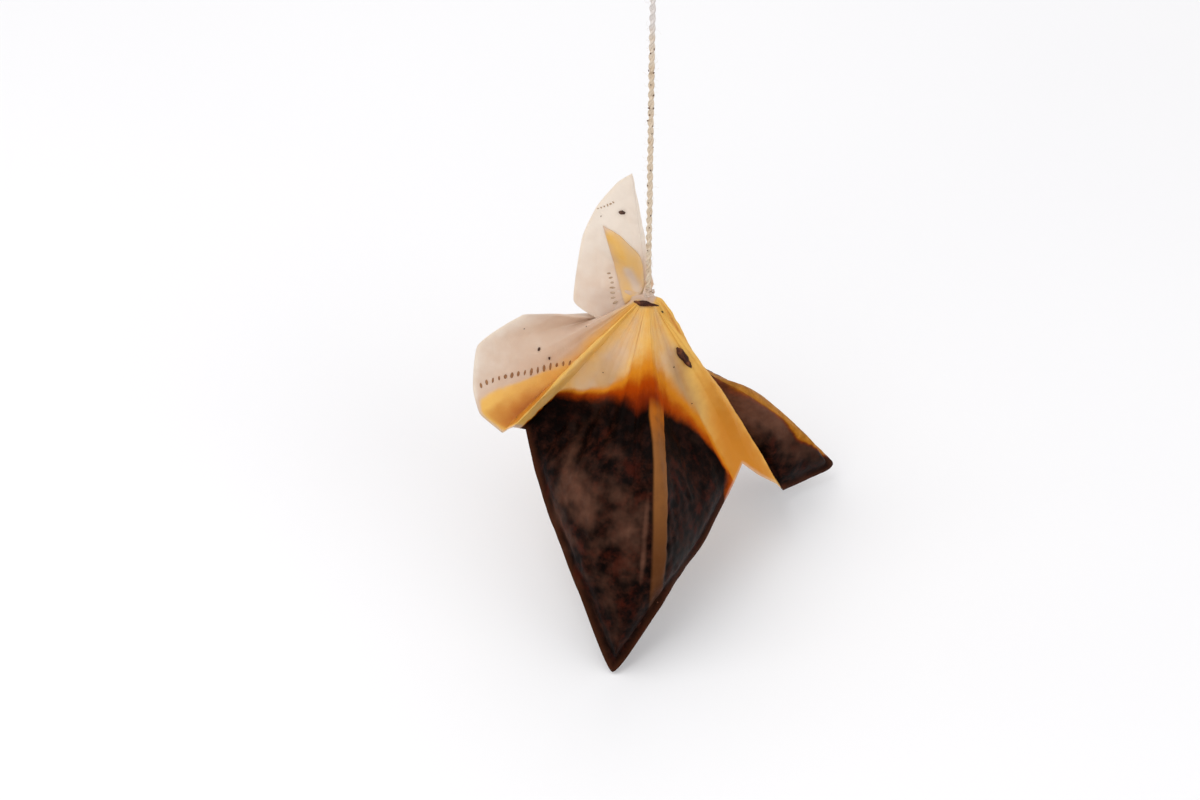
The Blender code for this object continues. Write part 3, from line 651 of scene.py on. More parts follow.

# How deeply tea has soaked the paper along each guide, at these reaches.  The wing's values also
# paint shade, darkening it to the damp colour, and the lower ear's values rise so that the ear
# darkens towards its foot.
STAIN_AND_SHADE_REACHES = (0.08, 0.3, 0.5, 0.75, 1.0)
STAINS_AND_SHADE = {
    "ear_edge": (0.55, 0.25, 0.05, 0.0, 0.0),
    "ear_tip": (0.5, 0.15, 0.0, 0.0, 0.0),
    "ear_fold": (0.5, 0.15, 0.0, 0.0, 0.0),
    "ear_side": (0.5, 0.32, 0.2, 0.12, 0.05),
    "ear_low": (0.55, 0.42, 0.32, 0.27, 0.2),
    "ear_corner": (0.6, 0.45, 0.36, 0.32, 0.28),
    "ear_turn": (0.6, 0.3, 0.1, 0.0, 0.0),
    "ears_valley": (0.6, 0.3, 0.1, 0.05, 0.05),
    "wing_fold": (0.5, 0.40, 0.38, 0.28, 0.15),
    "wing_corner": (0.55, 0.42, 0.40, 0.32, 0.15),
    "wing_side": (0.6, 0.44, 0.40, 0.34, 0.2),
    "wing_bend": (0.8, 0.55, 0.42, 0.45, 0.4),
    "trough": (0.85, 0.82, 0.85, 0.97, 1.08),
    "strip": (0.8, 0.78, 0.77, 0.78, 0.8),
    "front_side": (0.8, 0.74, 0.72, 0.74, 0.74),
    "front_1": (0.75, 0.6, 0.6, 0.6, 0.6),
    "front_2": (0.7, 0.6, 0.65, 0.6, 0.6),
    "front_3": (0.7, 0.72, 0.8, 0.8, 0.8),
    "front_tip": (0.72, 0.85, 1.0, 1.0, 1.0),
    "front_pleat": (0.72, 0.85, 1.0, 1.0, 1.0),
    "front_4": (0.7, 0.65, 0.9, 1.0, 1.0),
    "front_5": (0.75, 0.7, 0.85, 0.95, 1.0),
    "front_6": (0.7, 0.58, 0.75, 1.1, 1.4),
    "notch": (0.78, 0.85, 1.05, 1.3, 1.45),
    "band": (0.85, 0.95, 1.15, 1.35, 1.4),
    "band_edge": (0.85, 0.9, 1.05, 1.15, 1.1),
    "rear_inner": (0.9, 0.9, 1.0, 1.0, 1.0),
    "rear_low": (0.9, 0.9, 1.0, 1.0, 1.0),
    "rear_tip": (0.85, 0.9, 1.0, 1.0, 1.0),
    "rear_top": (0.8, 0.85, 0.9, 1.0, 1.0),
    "rear_valley": (0.65, 0.6, 0.6, 0.6, 0.6),
    "back": (0.55, 0.4, 0.35, 0.3, 0.3),
    "ear_back": (0.55, 0.3, 0.15, 0.05, 0.05),
}
# Guide number and reach of the spots where the leaves' dark edge runs, clear of both
# pouches at a reach past the rim.
LEAF_EDGE = np.array((
    (0, 1.3), (13.2, 1.3), (13.55, 1.0), (13.78, 0.8), (14.0, 0.74), (14.5, 0.65),
    (15.1, 0.575), (15.8, 0.48), (16.5, 0.415), (17.1, 0.368), (17.7, 0.335), (18.4, 0.338),
    (19.4, 0.38), (20.3, 0.425), (21.1, 0.49), (21.5, 0.55), (21.7, 0.60), (22.0, 0.68),
    (22.3, 0.78), (22.5, 1.02), (22.62, 1.3), (25.4, 1.3), (25.9, 0.5), (27.0, 0.42),
    (28.0, 0.42), (29.0, 0.44), (29.6, 0.72), (29.9, 1.0), (30.2, 1.3), (33, 1.3)))
# The burnt orange above the leaves along the same guides: how wide it is, in millimetres,
# and how strong at the leaves.
BURNT = np.array((
    (0, 1.0, 1.0), (14.0, 0.9, 0.9), (15.8, 1.8, 0.9), (16.6, 3.2, 0.95), (17.4, 5.4, 1.0),
    (18.2, 6.8, 1.1), (19.2, 6.4, 1.05), (20.0, 6.6, 0.9), (20.9, 6.6, 0.85), (21.5, 6.0, 0.8),
    (22.0, 6.0, 0.8), (22.35, 7.0, 0.8), (22.6, 2.0, 0.8), (25, 1.2, 0.9), (33, 1.2, 0.9)))
# The thinly filled margin along the rear pouch's upper edge.  The edge runs down from this
# reach to the rim in so many points, then along the rim to the pouch's tip in so many more.
# The margin is this wide in millimetres at these of the points.
REAR_EDGE_FROM, REAR_EDGE_DOWN, REAR_EDGE_ALONG = 0.4, 30, 12
REAR_MARGIN = ((0, 8, 16, 29, 34, 39, 41), (0.2, 1.5, 3.0, 4.7, 4.2, 0.2, -2.0))
# How softly it ends, how much less burnt it is and how much less veiled and painted with light,
# how near the leaves' edge it counts as, how steeply leaves build up behind it, and how far past
# its guide it goes.
MARGIN_FADE, MARGIN_BURNT, MARGIN_VEIL_AND_LIGHT = 0.4, 0.58, 0.8
MARGIN_DEPTH, MARGIN_SLOPE, MARGIN_PAST = -0.3, 2, 1.5
# Width in millimetres of the orange paper left along the seam between the leaves and the
# notch, along these guides.
SEAM_GUIDES = (0, 21.75, 21.95, 22.3, 22.7, 24.0, 25.0, 33.0)
SEAM_WIDTH = (-30.0, -30.0, 0.2, 1.5, 2.4, 3.2, -30.0, -30.0)
# How greyed the wet paper is, above the leaves and over them, along each guide at these reaches.
# Above the leaves this grey is painted shade; over them it is the wet paper's milky veil with a
# painted sheen.
VEIL_AND_LIGHT_REACHES = (0.1, 0.25, 0.4, 0.6, 0.8, 1.0)
VEILS_AND_PAINTED_LIGHT = {
    "front_side": (0.0, 0.0, 0.1, 0.1, 0.05, 0.0),
    "front_1": (0.0, 0.1, 0.5, 0.45, 0.15, 0.3),
    "front_2": (0.0, 0.25, 0.75, 0.3, 0.85, 0.5),
    "front_3": (0.0, 0.1, 0.1, 0.4, 0.5, 0.3),
    "front_tip": (0.0, 0.0, 0.05, 0.75, 0.45, 0.3),
    "front_pleat": (0.0, 0.0, 0.05, 0.3, 0.3, 0.25),
    "front_4": (0.0, 0.05, 0.0, 0.05, 0.1, 0.2),
    "front_5": (0.0, 0.2, 0.1, 0.0, 0.05, 0.1),
    "front_6": (0.0, 0.45, 1.05, 0.9, 0.2, 0.1),
    "notch": (0.0, 0.1, 0.15, 0.1, 0.0, 0.0),
    "rear_inner": (0.0, 0.2, 0.3, 0.6, 0.4, 0.1),
    "rear_low": (0.0, 0.2, 0.7, 1.15, 0.8, 0.3),
    "rear_tip": (0.0, 0.2, 0.9, 1.3, 0.9, 0.3),
    "rear_top": (0.0, 0.2, 0.7, 1.1, 1.0, 0.7),
}
# How soaked the gathered neck is and out to what reach, and the guide numbers that end the wing
# and the strip.  The neck's low soak leaves the nub pale: less tea there, and a painted highlight.
NECK_SOAK_AND_HIGHLIGHT, NECK_REACH, WING_END, STRIP_END = 0.35, 0.07, 13, 14.2
# The line of the wing's crimp: guide number at these reaches, from the neck to the rim.
CRIMP_REACHES = (0.3, 0.45, 0.51, 0.64, 0.76, 0.87, 0.97)
CRIMP_GUIDES = (12.3, 12.0, 11.6, 10.9, 10.5, 10.25, 10.2)
# The doubled pleat: guide number at these reaches.
PLEAT_REACHES = (0.1, 0.25, 0.36, 0.46, 0.6, 0.78, 0.92, 1.0)
PLEAT_GUIDES = (19.5, 19.5, 19.55, 19.55, 19.25, 19.0, 18.9, 18.85)
# A lesser crease beside it.
CREASE_REACHES = (0.3, 0.42, 0.55, 0.7, 0.85, 1.0)
CREASE_GUIDES = (18.8, 18.75, 18.6, 18.55, 18.5, 18.4)


class BagSheet:
    """The bag's middle surface over guide number and reach, worked on whole grids."""

    def __init__(self):
        known = [i for i in range(COUNT) if GUIDES[i][1] is not None]
        bearing = np.radians(np.interp(range(COUNT), known, [GUIDES[i][1] for i in known]))
        self.rims = np.array([guide[2] for guide in GUIDES])
        self.lifts = np.array([guide[3] for guide in GUIDES])
        self.sags = np.array([SAGS.get(name, (0.0, 0.0, 0.0)) for name in NAMES])
        self.leaf_from = np.array([guide[4] for guide in GUIDES], dtype=float)
        self.folded = np.array([name in FOLDS for name in NAMES])
        outward = np.stack([np.cos(bearing), np.sin(bearing), np.zeros(COUNT)], axis=1)
        self.ring = NECK_R * outward + (0, 0, NECK_Z)
        self.heels = self.ring + unit(self.rims - self.ring) * (HEEL - NECK_R)
        for name in UPRIGHT_EAR:
            i = NAMES.index(name)
            self.heels[i] = HEEL * outward[i] + (0, 0, NECK_Z + UPRIGHT)
        chords = np.roll(self.rims, -1, axis=0) - np.roll(self.rims, 1, axis=0)
        ways = unit(np.cross(self.rims, chords))
        for _ in range(LIFT_SMOOTHINGS):
            ways = unit(np.roll(ways, 1, axis=0) + 2 * ways + np.roll(ways, -1, axis=0))
        self.lift_ways = ways
        self.rim_line = self.points(np.arange(0, COUNT, RIM_STEP), RIM)[:, 0]

    def on_guides(self, reach):
        """Every guide at every reach."""
        reach = np.asarray(reach, dtype=float)[None, :, None]
        ring, heels, rims = (line[:, None, :] for line in (self.ring, self.heels, self.rims))
        low = ring + (heels - ring) * reach / HEEL_V
        along = np.clip((reach - HEEL_V) / (1 - HEEL_V), 0, 1)
        lift = (self.lift_ways * self.lifts[:, None])[:, None, :] * np.sin(pi * along) ** 1.5
        sag = self.sags[:, None, :] * np.sin(pi * along ** 0.5) ** 1.5
        return np.where(reach <= HEEL_V, low, heels + (rims - heels) * along + lift + sag)

    def points(self, around, reach):
        """Spots for every guide number in around and every reach, in mm from the tie."""
        around = np.asarray(around, dtype=float)
        guides = self.on_guides(reach)
        first = np.floor(around).astype(int)
        t = (around - first)[:, None, None]
        first = first % COUNT
        last = (first + 1) % COUNT
        start, end = guides[first], guides[last]
        straight = 2 * (end - start)
        leave = np.where(self.folded[first][:, None, None], straight, end - guides[first - 1])
        arrive = np.where(self.folded[last][:, None, None], straight,
                          guides[(first + 2) % COUNT] - start)
        return ((2 * t ** 3 - 3 * t ** 2 + 1) * start + (t ** 3 - 2 * t ** 2 + t) * TURN * leave
                + (3 * t ** 2 - 2 * t ** 3) * end + (t ** 3 - t ** 2) * TURN * arrive)

    def rim_gap(self, points):
        """Distance of each spot from the rim."""
        return np.array([np.linalg.norm(line[:, None] - self.rim_line[None], axis=2).min(axis=1)
                         for line in points])

    def swell(self, around, reach, points, rim_gap):
        """How far the paper stands off the middle surface on each side, as vectors."""
        rim = np.linalg.norm(self.points(around, RIM)[:, 0], axis=1)[:, None]
        whole = np.append(self.leaf_from, self.leaf_from[0])
        leaf_start = np.interp(around, np.arange(COUNT + 1), whole)[:, None]
        total = np.zeros(points.shape)
        for first, last, vein, fill, way in POUCHES:
            first, last = NAMES.index(first), NAMES.index(last)
            inside = np.minimum(around - first, last - around)[:, None]
            thick = (fill * grow((reach[None] - leaf_start) * rim, 0, LINE_ROUND)
                     * bulge(rim_gap, SEAL, EDGE_ROUND) * bulge(inside, 0, ENDS_ROUND))
            near = (around > first - 1) & (around < last + 1)
            vein_line = self.points([vein], reach)[0]
            vein_start = np.interp(vein, np.arange(COUNT + 1), whole)
            aside = np.linalg.norm(points - vein_line[None], axis=2)
            open_pleat = (VEIN * bulge(reach[None], VEIN_FROM, VEIN_FROM)
                          * bulge(vein_start + VEIN_PAST - reach[None], 0, VEIN_PAST)
                          * 2.0 ** -((aside / VEIN_WIDTH) ** 2))
            thick = (thick + open_pleat) * near[:, None]
            total += thick[..., None] * unit(np.array(way))
        return total


SHEET = BagSheet()


def grid_normals(grid):
    """Outward normals of a grid that closes round its first axis, evened out a little."""
    across = np.roll(grid, -1, axis=0) - np.roll(grid, 1, axis=0)
    outward = np.gradient(grid, axis=1)
    ways = unit(np.cross(outward, across))
    for _ in range(NORMAL_SMOOTHINGS):
        ways = unit(np.roll(ways, 1, axis=0) + 2 * ways + np.roll(ways, -1, axis=0))
    return ways


def field(points, grain, seed):
    """Smooth noise at each spot, about -1 to 1; grain is the size of its features."""
    shift = Vector([seed * apart for apart in SEED_SHIFT])
    rate = 1 / grain
    values = [noise.noise(Vector(p) * rate + shift) for p in points.reshape(-1, 3)]
    return np.array(values).reshape(points.shape[:-1])


def around_field(around, reach, round_rate, reach_rate, seed):
    """Noise over guide number and reach that meets itself round the neck."""
    angle = tau * around / COUNT
    ring = round_rate * COUNT / tau
    spots = np.stack(np.broadcast_arrays(
        (np.cos(angle) * ring)[:, None], (np.sin(angle) * ring)[:, None],
        (reach * reach_rate)[None, :]), axis=-1)
    return field(spots, 1.0, seed)


# The dressed grid: fewest and most columns from guide to guide, rows in the heel, and how
# the rest crowd towards the neck.
GUIDE_COLUMNS, HEEL_ROWS, CROWDING = (8, 30), 6, 1.08
# Soaking past the wing's crimp and where it is richest: how deep, and where it starts and
# how soon it is full, in guides past the crimp and in reach.
CRIMP_SOAK, CRIMP_PAST, CRIMP_REACH = 0.8, (0.02, 0.4), (0.2, 0.25)
RICH_SOAK, RICH_PAST, RICH_REACH = 0.45, (0.3, 1.2), (0.5, 0.25)
# The wing's rim is painted paler, a painted highlight along its rounded edge: how much, over which
# gap from the rim and from which guide.
WING_RIM_HIGHLIGHT, WING_RIM_HIGHLIGHT_GAP, WING_RIM_HIGHLIGHT_GUIDE = 0.55, (0.1, 0.9), (9.0, 0.6)
# The paper thins to this share of its thickness over this gap at the rim.
RIM_SHARE, RIM_THINS = 0.45, (0.0, 0.6)
# Gathers: noise rates round and along and their share, how far they run out, how strong
# they are, and the guides at which the flatter ears end and begin again.
GATHERS = ((3.1, 1.3, 1.0), (6.3, 2.0, 0.3))
GATHER_RUN, GATHER_GAIN = 0.40, 1.6
EAR_GATHERS, EARS_END, EARS_BEGIN = 0.4, (11.5, 1.5), (29.0, 2.0)
FADE_IN = (0.03, 0.12)
# Waves: grain and share.  They are weaker where the bag is full.
WAVES = ((6.5, 1.0), (2.4, 0.35))
FULL, FULL_WAVES = 1.2, 0.7
FINE_GRAIN, FINE_DEPTH = 1.1, 0.07
# Lumps: grain and share, where they start behind the leaves' edge and clear of the rim,
# and how much smoother they are over these guides.
LUMPS = ((2.6, 1.2), (1.3, 0.5), (0.7, 0.25))
LUMPS_BEHIND, LUMPS_CLEAR = (-0.5, 2.0), (0.5, 1.5)
SMOOTH_SIDE, SMOOTH_FROM, SMOOTH_TO = 0.55, (19.5, 1.0), 24
# The pleat: least width and height, where it widens, stands, starts and ends, its flat top
# and its flank as shares of its half width, and how much it hides the lumps.
PLEAT_NARROW, PLEAT_WIDENS = 0.45, (0.2, 0.2)
PLEAT_LOW, PLEAT_STANDS = 0.35, (0.28, 0.15)
PLEAT_STARTS, PLEAT_ENDS = (0.1, 0.2), (0.86, 0.12)
PLEAT_FLAT, PLEAT_FLANK, PLEAT_HIDES = 0.72, 0.42, 0.8
# The crease: its width and height, where it starts, and how strong its painted highlight is and
# where that ends.
CREASE_WIDTH, CREASE_HEIGHT, CREASE_STARTS = 1.3, 0.12, (0.45, 0.2)
CREASE_HIGHLIGHT, CREASE_HIGHLIGHT_ENDS = 0.75, (0.75, 0.2)
# The paper's inside is pinched together at the neck: by how much and over what reach.
PINCH, PINCH_RUN = 0.5, 0.05


class Bag:
    """The grid of the dressed bag, kept so that marks can be laid on its paper."""

    def __init__(self, sizes):
        spacing = sizes.spacing / MM
        columns = []
        for i in range(COUNT):
            gap = np.linalg.norm(SHEET.rims[(i + 1) % COUNT] - SHEET.rims[i])
            steps = int(np.clip(np.ceil(gap / spacing), *GUIDE_COLUMNS))
            columns.append(i + np.arange(steps) / steps)
        self.around = np.concatenate(columns)
        close = np.linspace(0, HEEL_V, HEEL_ROWS)
        far = np.linspace(0, 1, sizes.rows - HEEL_ROWS + 1)[1:] ** CROWDING
        self.reach = np.concatenate([close, HEEL_V + (1 - HEEL_V) * far])
        self.middle = SHEET.points(self.around, self.reach)
        self.gap = SHEET.rim_gap(self.middle)
        self.normal = grid_normals(self.middle)
        self.rim_length = np.linalg.norm(self.middle[:, -1], axis=1)[:, None]
        self.paint()
        self.shape(sizes)

    def charted(self, reaches, table):
        """A table of levels by guide and reach, spread over the whole grid."""
        none = (0.0,) * len(reaches)
        chart = np.array([table.get(name, none) for name in NAMES + NAMES[:1]])
        rows = np.array([np.interp(self.around, range(COUNT + 1), levels) for levels in chart.T])
        return np.array([np.interp(self.reach, reaches, levels) for levels in rows.T])

    def along(self, table, column):
        """One column of a table by guide number, for each column of the grid."""
        return np.interp(self.around, table[:, 0], table[:, column])[:, None]

    def paint(self):
        """Levels that say what the paper is soaked with, and where shade, sheen and highlights are
        painted on it, over the whole grid.
        """
        around, reach = self.around[:, None], self.reach[None]
        self.soak = self.soaked(around, reach)
        self.depth = np.clip((reach - self.along(LEAF_EDGE, 1)) * self.rim_length,
                             NO_LEAF, DEEPEST)
        seam = np.interp(around, SEAM_GUIDES, SEAM_WIDTH)
        self.depth = np.minimum(self.depth, self.gap - seam)
        width, strength = self.along(BURNT, 1), self.along(BURNT, 2)
        self.burnt = strength * bell(np.maximum(0, -self.depth), width)
        self.veil = self.charted(VEIL_AND_LIGHT_REACHES, VEILS_AND_PAINTED_LIGHT)
        self.thin_margin()
        self.aside = self.off_line(PLEAT_REACHES, PLEAT_GUIDES)
        self.off_crease = self.off_line(CREASE_REACHES, CREASE_GUIDES)

    def soaked(self, around, reach):
        """How deeply tea soaks the paper: richer below the wing's crimp, and paler at its rim,
        where a highlight is painted.  It also carries painted shade on the wing and a painted
        highlight on the neck.
        """
        soak = self.charted(STAIN_AND_SHADE_REACHES, STAINS_AND_SHADE)
        past = around - np.interp(reach, CRIMP_REACHES, CRIMP_GUIDES)
        below_crimp = (grow(past, *CRIMP_PAST) * (around < WING_END)
                       * grow(reach, *CRIMP_REACH))
        rich = RICH_SOAK * grow(past, *RICH_PAST) * grow(reach, *RICH_REACH)
        soak = np.maximum(soak, (CRIMP_SOAK + rich) * below_crimp)
        paler_rim_highlight = (1 - grow(self.gap, *WING_RIM_HIGHLIGHT_GAP)) * grow(around, *WING_RIM_HIGHLIGHT_GUIDE)
        soak = NECK_SOAK_AND_HIGHLIGHT + (soak - NECK_SOAK_AND_HIGHLIGHT) * grow(reach, 0, NECK_REACH)
        return soak * (1 - WING_RIM_HIGHLIGHT * paler_rim_highlight * (around < STRIP_END))

    def thin_margin(self):
        """Little leaf lies along the rear pouch's upper edge, from the band round to its tip."""
        first, tip, top = (NAMES.index(name) for name in ("rear_inner", "rear_tip", "rear_top"))
        down = np.linspace(REAR_EDGE_FROM, 1, REAR_EDGE_DOWN)
        along = np.linspace(top, tip, REAR_EDGE_ALONG)
        edge = np.concatenate([SHEET.points([top], down)[0], SHEET.points(along, RIM)[:, 0]])
        width = np.interp(range(len(edge)), *REAR_MARGIN)
        near = (self.around > first) & (self.around < top + MARGIN_PAST)
        apart = np.linalg.norm(self.middle[near][:, :, None] - edge, axis=3)
        inside = (apart - width).min(axis=2)
        thin = grow(MARGIN_FADE - inside, 0, 2 * MARGIN_FADE)
        shallow = np.where(inside < 0, MARGIN_DEPTH * thin, inside * MARGIN_SLOPE)
        self.depth[near] = np.minimum(self.depth[near], shallow)
        self.burnt[near] *= 1 - MARGIN_BURNT * thin
        self.veil[near] *= 1 - MARGIN_VEIL_AND_LIGHT * thin

    def off_line(self, reaches, guides):
        """Distance of every spot from a line down the front pouch, in millimetres."""
        guide = np.interp(self.reach, reaches, guides)
        line = np.array([SHEET.points([u], [v])[0, 0] for u, v in zip(guide, self.reach)])
        off = np.linalg.norm(self.middle - line[None], axis=2)
        near = np.abs(self.around[:, None] - guide[None]) < NEAR_GUIDES
        return np.where(near, off, FAR)

    def shape(self, sizes):
        """The outer and inner faces of the paper."""
        reach = self.reach[None]
        thin = sizes.half_thickness / MM * grow(self.gap, *RIM_THINS, least=RIM_SHARE)
        swell = SHEET.swell(self.around, self.reach, self.middle, self.gap)
        crumple = self.crumple(sizes, swell)[..., None] * self.normal
        over_leaf = grow(self.depth, *LUMPS_BEHIND) * grow(self.gap, *LUMPS_CLEAR)
        outer_lumps = self.lumps(swell, over_leaf, sizes, OUTER_SEED)
        inner_lumps = self.lumps(-swell, over_leaf, sizes, INNER_SEED)
        half_width = (sizes.pleat_width / MM / 2
                      * grow(reach, *PLEAT_WIDENS, least=PLEAT_NARROW))
        ridge = 1 - grow(self.aside, half_width * PLEAT_FLAT, half_width * PLEAT_FLANK)
        self.ridge = ridge * grow(reach, *PLEAT_STARTS) * (1 - grow(reach, *PLEAT_ENDS))
        stand = (sizes.pleat_height / MM * self.ridge
                 * grow(reach, *PLEAT_STANDS, least=PLEAT_LOW))
        crease = bell(self.off_crease, CREASE_WIDTH) * grow(reach, *CREASE_STARTS)
        # A painted highlight along the crease, laid into the veil and painted light level.
        veil = CREASE_HIGHLIGHT * crease * (1 - grow(reach, *CREASE_HIGHLIGHT_ENDS))
        self.veil = np.maximum(self.veil, veil)
        stand = stand + CREASE_HEIGHT * crease
        outwards = thin + outer_lumps * (1 - PLEAT_HIDES * self.ridge) + stand
        inwards = thin + inner_lumps
        self.outer = self.middle + swell + crumple + outwards[..., None] * self.normal
        self.inner = self.middle - swell + crumple - inwards[..., None] * self.normal
        self.inner[..., :2] *= (1 - PINCH * bell(reach, PINCH_RUN))[..., None]

    def crumple(self, sizes, swell):
        """Gathers that run out from the neck, slow waves where no leaves fill it, fine grain."""
        reach = self.reach[None]
        fade_in = grow(reach, *FADE_IN)
        gathers = sum(share * around_field(self.around, self.reach, *rates, seed)
                      for seed, (*rates, share) in enumerate(GATHERS, GATHER_SEED))
        gathers *= sizes.gather_depth / MM * fade_in * bell(reach, GATHER_RUN) * GATHER_GAIN
        between_ears = grow(self.around, *EARS_END) * (1 - grow(self.around, *EARS_BEGIN))
        gathers *= (EAR_GATHERS + (1 - EAR_GATHERS) * between_ears)[:, None]
        waves = sizes.wave_depth / MM * sum(share * field(self.middle, grain, seed)
                                            for seed, (grain, share)
                                            in enumerate(WAVES, WAVE_SEED))
        full = grow(np.linalg.norm(swell, axis=2), 0, FULL)
        waves *= fade_in * (1 - FULL_WAVES * full)
        fine = FINE_DEPTH * field(self.middle, FINE_GRAIN, FINE_SEED)
        return gathers + waves + fine * fade_in

    def lumps(self, swell, over_leaf, sizes, seed):
        """Leaf pressed against the paper from inside; its largest lumps only push outwards."""
        fields = [share * field(self.middle + swell, grain, seed + k)
                  for k, (grain, share) in enumerate(LUMPS)]
        bumps = np.abs(fields[0]) + fields[1] + fields[2]
        smooth_side = 1 - SMOOTH_SIDE * grow(self.around, *SMOOTH_FROM) * (self.around < SMOOTH_TO)
        return sizes.lump_depth / MM * bumps * over_leaf * smooth_side[:, None]

    def rings(self):
        """Rings of points from the top of the gathered neck over the rim to the inside."""
        ring = SHEET.points(self.around, np.array([0.0]))[:, 0]
        angle = np.arctan2(ring[:, 1], ring[:, 0])
        pleats = sum(deep * np.cos(many * angle + start) for deep, many, start in COLLAR_PLEATS)
        collar = []
        for radius, height, depth in NECK_COLLAR:
            wide = radius * (1 + pleats * depth)
            collar.append(np.column_stack([wide * np.cos(angle), wide * np.sin(angle),
                                           np.full(len(angle), height)]))
        return [*collar, *self.outer.swapaxes(0, 1), *self.inner.swapaxes(0, 1)[::-1]]

    def mesh_data(self):
        rings = self.rings()
        columns = len(self.around)
        points = [(0.0, 0.0, NECK_TOP), *(p for ring in rings for p in ring),
                  (0.0, 0.0, NECK_INSIDE)]
        number = 1 + np.arange(len(rings) * columns).reshape(len(rings), columns)
        ahead = np.roll(number, -1, axis=1)
        faces = np.stack([number[:-1], ahead[:-1], ahead[1:], number[1:]], axis=-1)
        faces = faces.reshape(-1, 4).tolist()
        faces += [(0, b, a) for a, b in zip(number[0], ahead[0])]
        faces += [(len(points) - 1, a, b) for a, b in zip(number[-1], ahead[-1])]
        return points, faces

    def levels(self):
        """Each level spread over the mesh's points in the same order."""
        spread = {}
        for name, grid, at_neck in (
                ("soak", self.soak, NECK_SOAK_AND_HIGHLIGHT), ("leaf_depth", self.depth, NO_LEAF),
                ("burnt", self.burnt, 0.0), ("rim_gap", np.minimum(self.gap, GAP_MOST), GAP_MOST),
                ("ridge", self.ridge, 0.0), ("veil", self.veil, 0.0)):
            collar = np.full(1 + len(NECK_COLLAR) * len(self.around), at_neck)
            inner = grid.T[::-1] * (name != "ridge")
            spread[name] = np.concatenate([collar, grid.T.ravel(), inner.ravel(), [grid[0, 0]]])
        return spread

    def spot(self, u, v):
        """Point on the paper's outer face at a guide number and reach, and its normal."""
        i = int(np.argmin(np.abs(self.around - u % COUNT)))
        k = int(np.argmin(np.abs(self.reach - v)))
        low, high = max(0, k - 1), min(len(self.reach) - 1, k + 1)
        outward = self.outer[i, high] - self.outer[i, low]
        across = self.outer[(i + 1) % len(self.around), k] - self.outer[i - 1, k]
        slide = (v - self.reach[k]) / (self.reach[high] - self.reach[low])
        return self.outer[i, k] + outward * slide, unit(np.cross(outward, across))

    def nearest_front(self, x, z, first, last):
        """Depth of the outer face at an x and z seen from the front, between two guides."""
        chosen = (self.around >= first) & (self.around <= last)
        spots = self.outer[chosen].reshape(-1, 3)
        gap = (spots[:, 0] - x) ** 2 + (spots[:, 2] - z) ** 2
        close = np.argsort(gap)[:NEAR_SPOTS]
        weight = 1 / (gap[close] + NEAR_SOFT)
        return float((spots[close, 1] * weight).sum() / weight.sum())


# ------------------------------------------------------------ the ear's folded flap

# The flap is a corner of the upper ear turned over to the front: both of its long edges
# from the point down to the neck, as x and z in millimetres from the tie.
FLAP_RIGHT = ((-6.72, 10.6), (-5.24, 10.05), (-3.91, 9.0), (-2.42, 7.15), (-1.22, 5.65),
              (-0.76, 3.9), (-0.6, 1.9), (-0.5, 0.9))
FLAP_LEFT = ((-6.72, 10.6), (-6.15, 8.5), (-5.6, 6.2), (-5.1, 4.1), (-4.7, 2.5), (-4.3, 1.2),
             (-3.9, -0.1), (-3.4, -1.3))
# The pale patch near its foot, painted with less tea and with a highlight as though light shone
# through: both ends, as x and z, and its half width.
PALE_PATCH = ((-3.0, 3.4), (-1.7, 0.9))
PALE_HALF = 0.75
FLAP_GRID = (30, 20)  # rows and columns of its points
# How far it lies off the ear, arches over it and waves, and how far its back lies off.
FLAP_OFF, FLAP_ARCH, FLAP_WAVE, FLAP_BACK, BACK_ARCH = 0.24, 0.45, 0.10, 0.04, 0.3
# How soaked it is, and what its patch, its point and its sides take from that.
FLAP_SOAK, PATCH_LESS, POINT_LESS, LEFT_LESS, RIGHT_LESS = 0.78, 0.3, 0.35, 0.16, 0.1
# How much lower it arches at its foot, how squarely, its waves' rates across and down, and
# how closely what its sides take keeps to them.
FLAP_LOWERS, FLAP_SQUARE, FLAP_RATES, SIDE_KEEPS = 0.5, 0.8, (0.9, 0.5), 3
FLAP_POINT = 0.12  # share of its length that is its point
# The rim gap that the flap is painted with lays the rim's painted highlight over it: full on the
# patch, and stronger towards its right side.
FLAP_RIM, SIDE_HIGHLIGHT = 0.62, 0.5  # rim gap it is painted with, in mm, and its fall to a side
FLAP_GUIDES = (0, 5)  # the guides of the ear it lies on


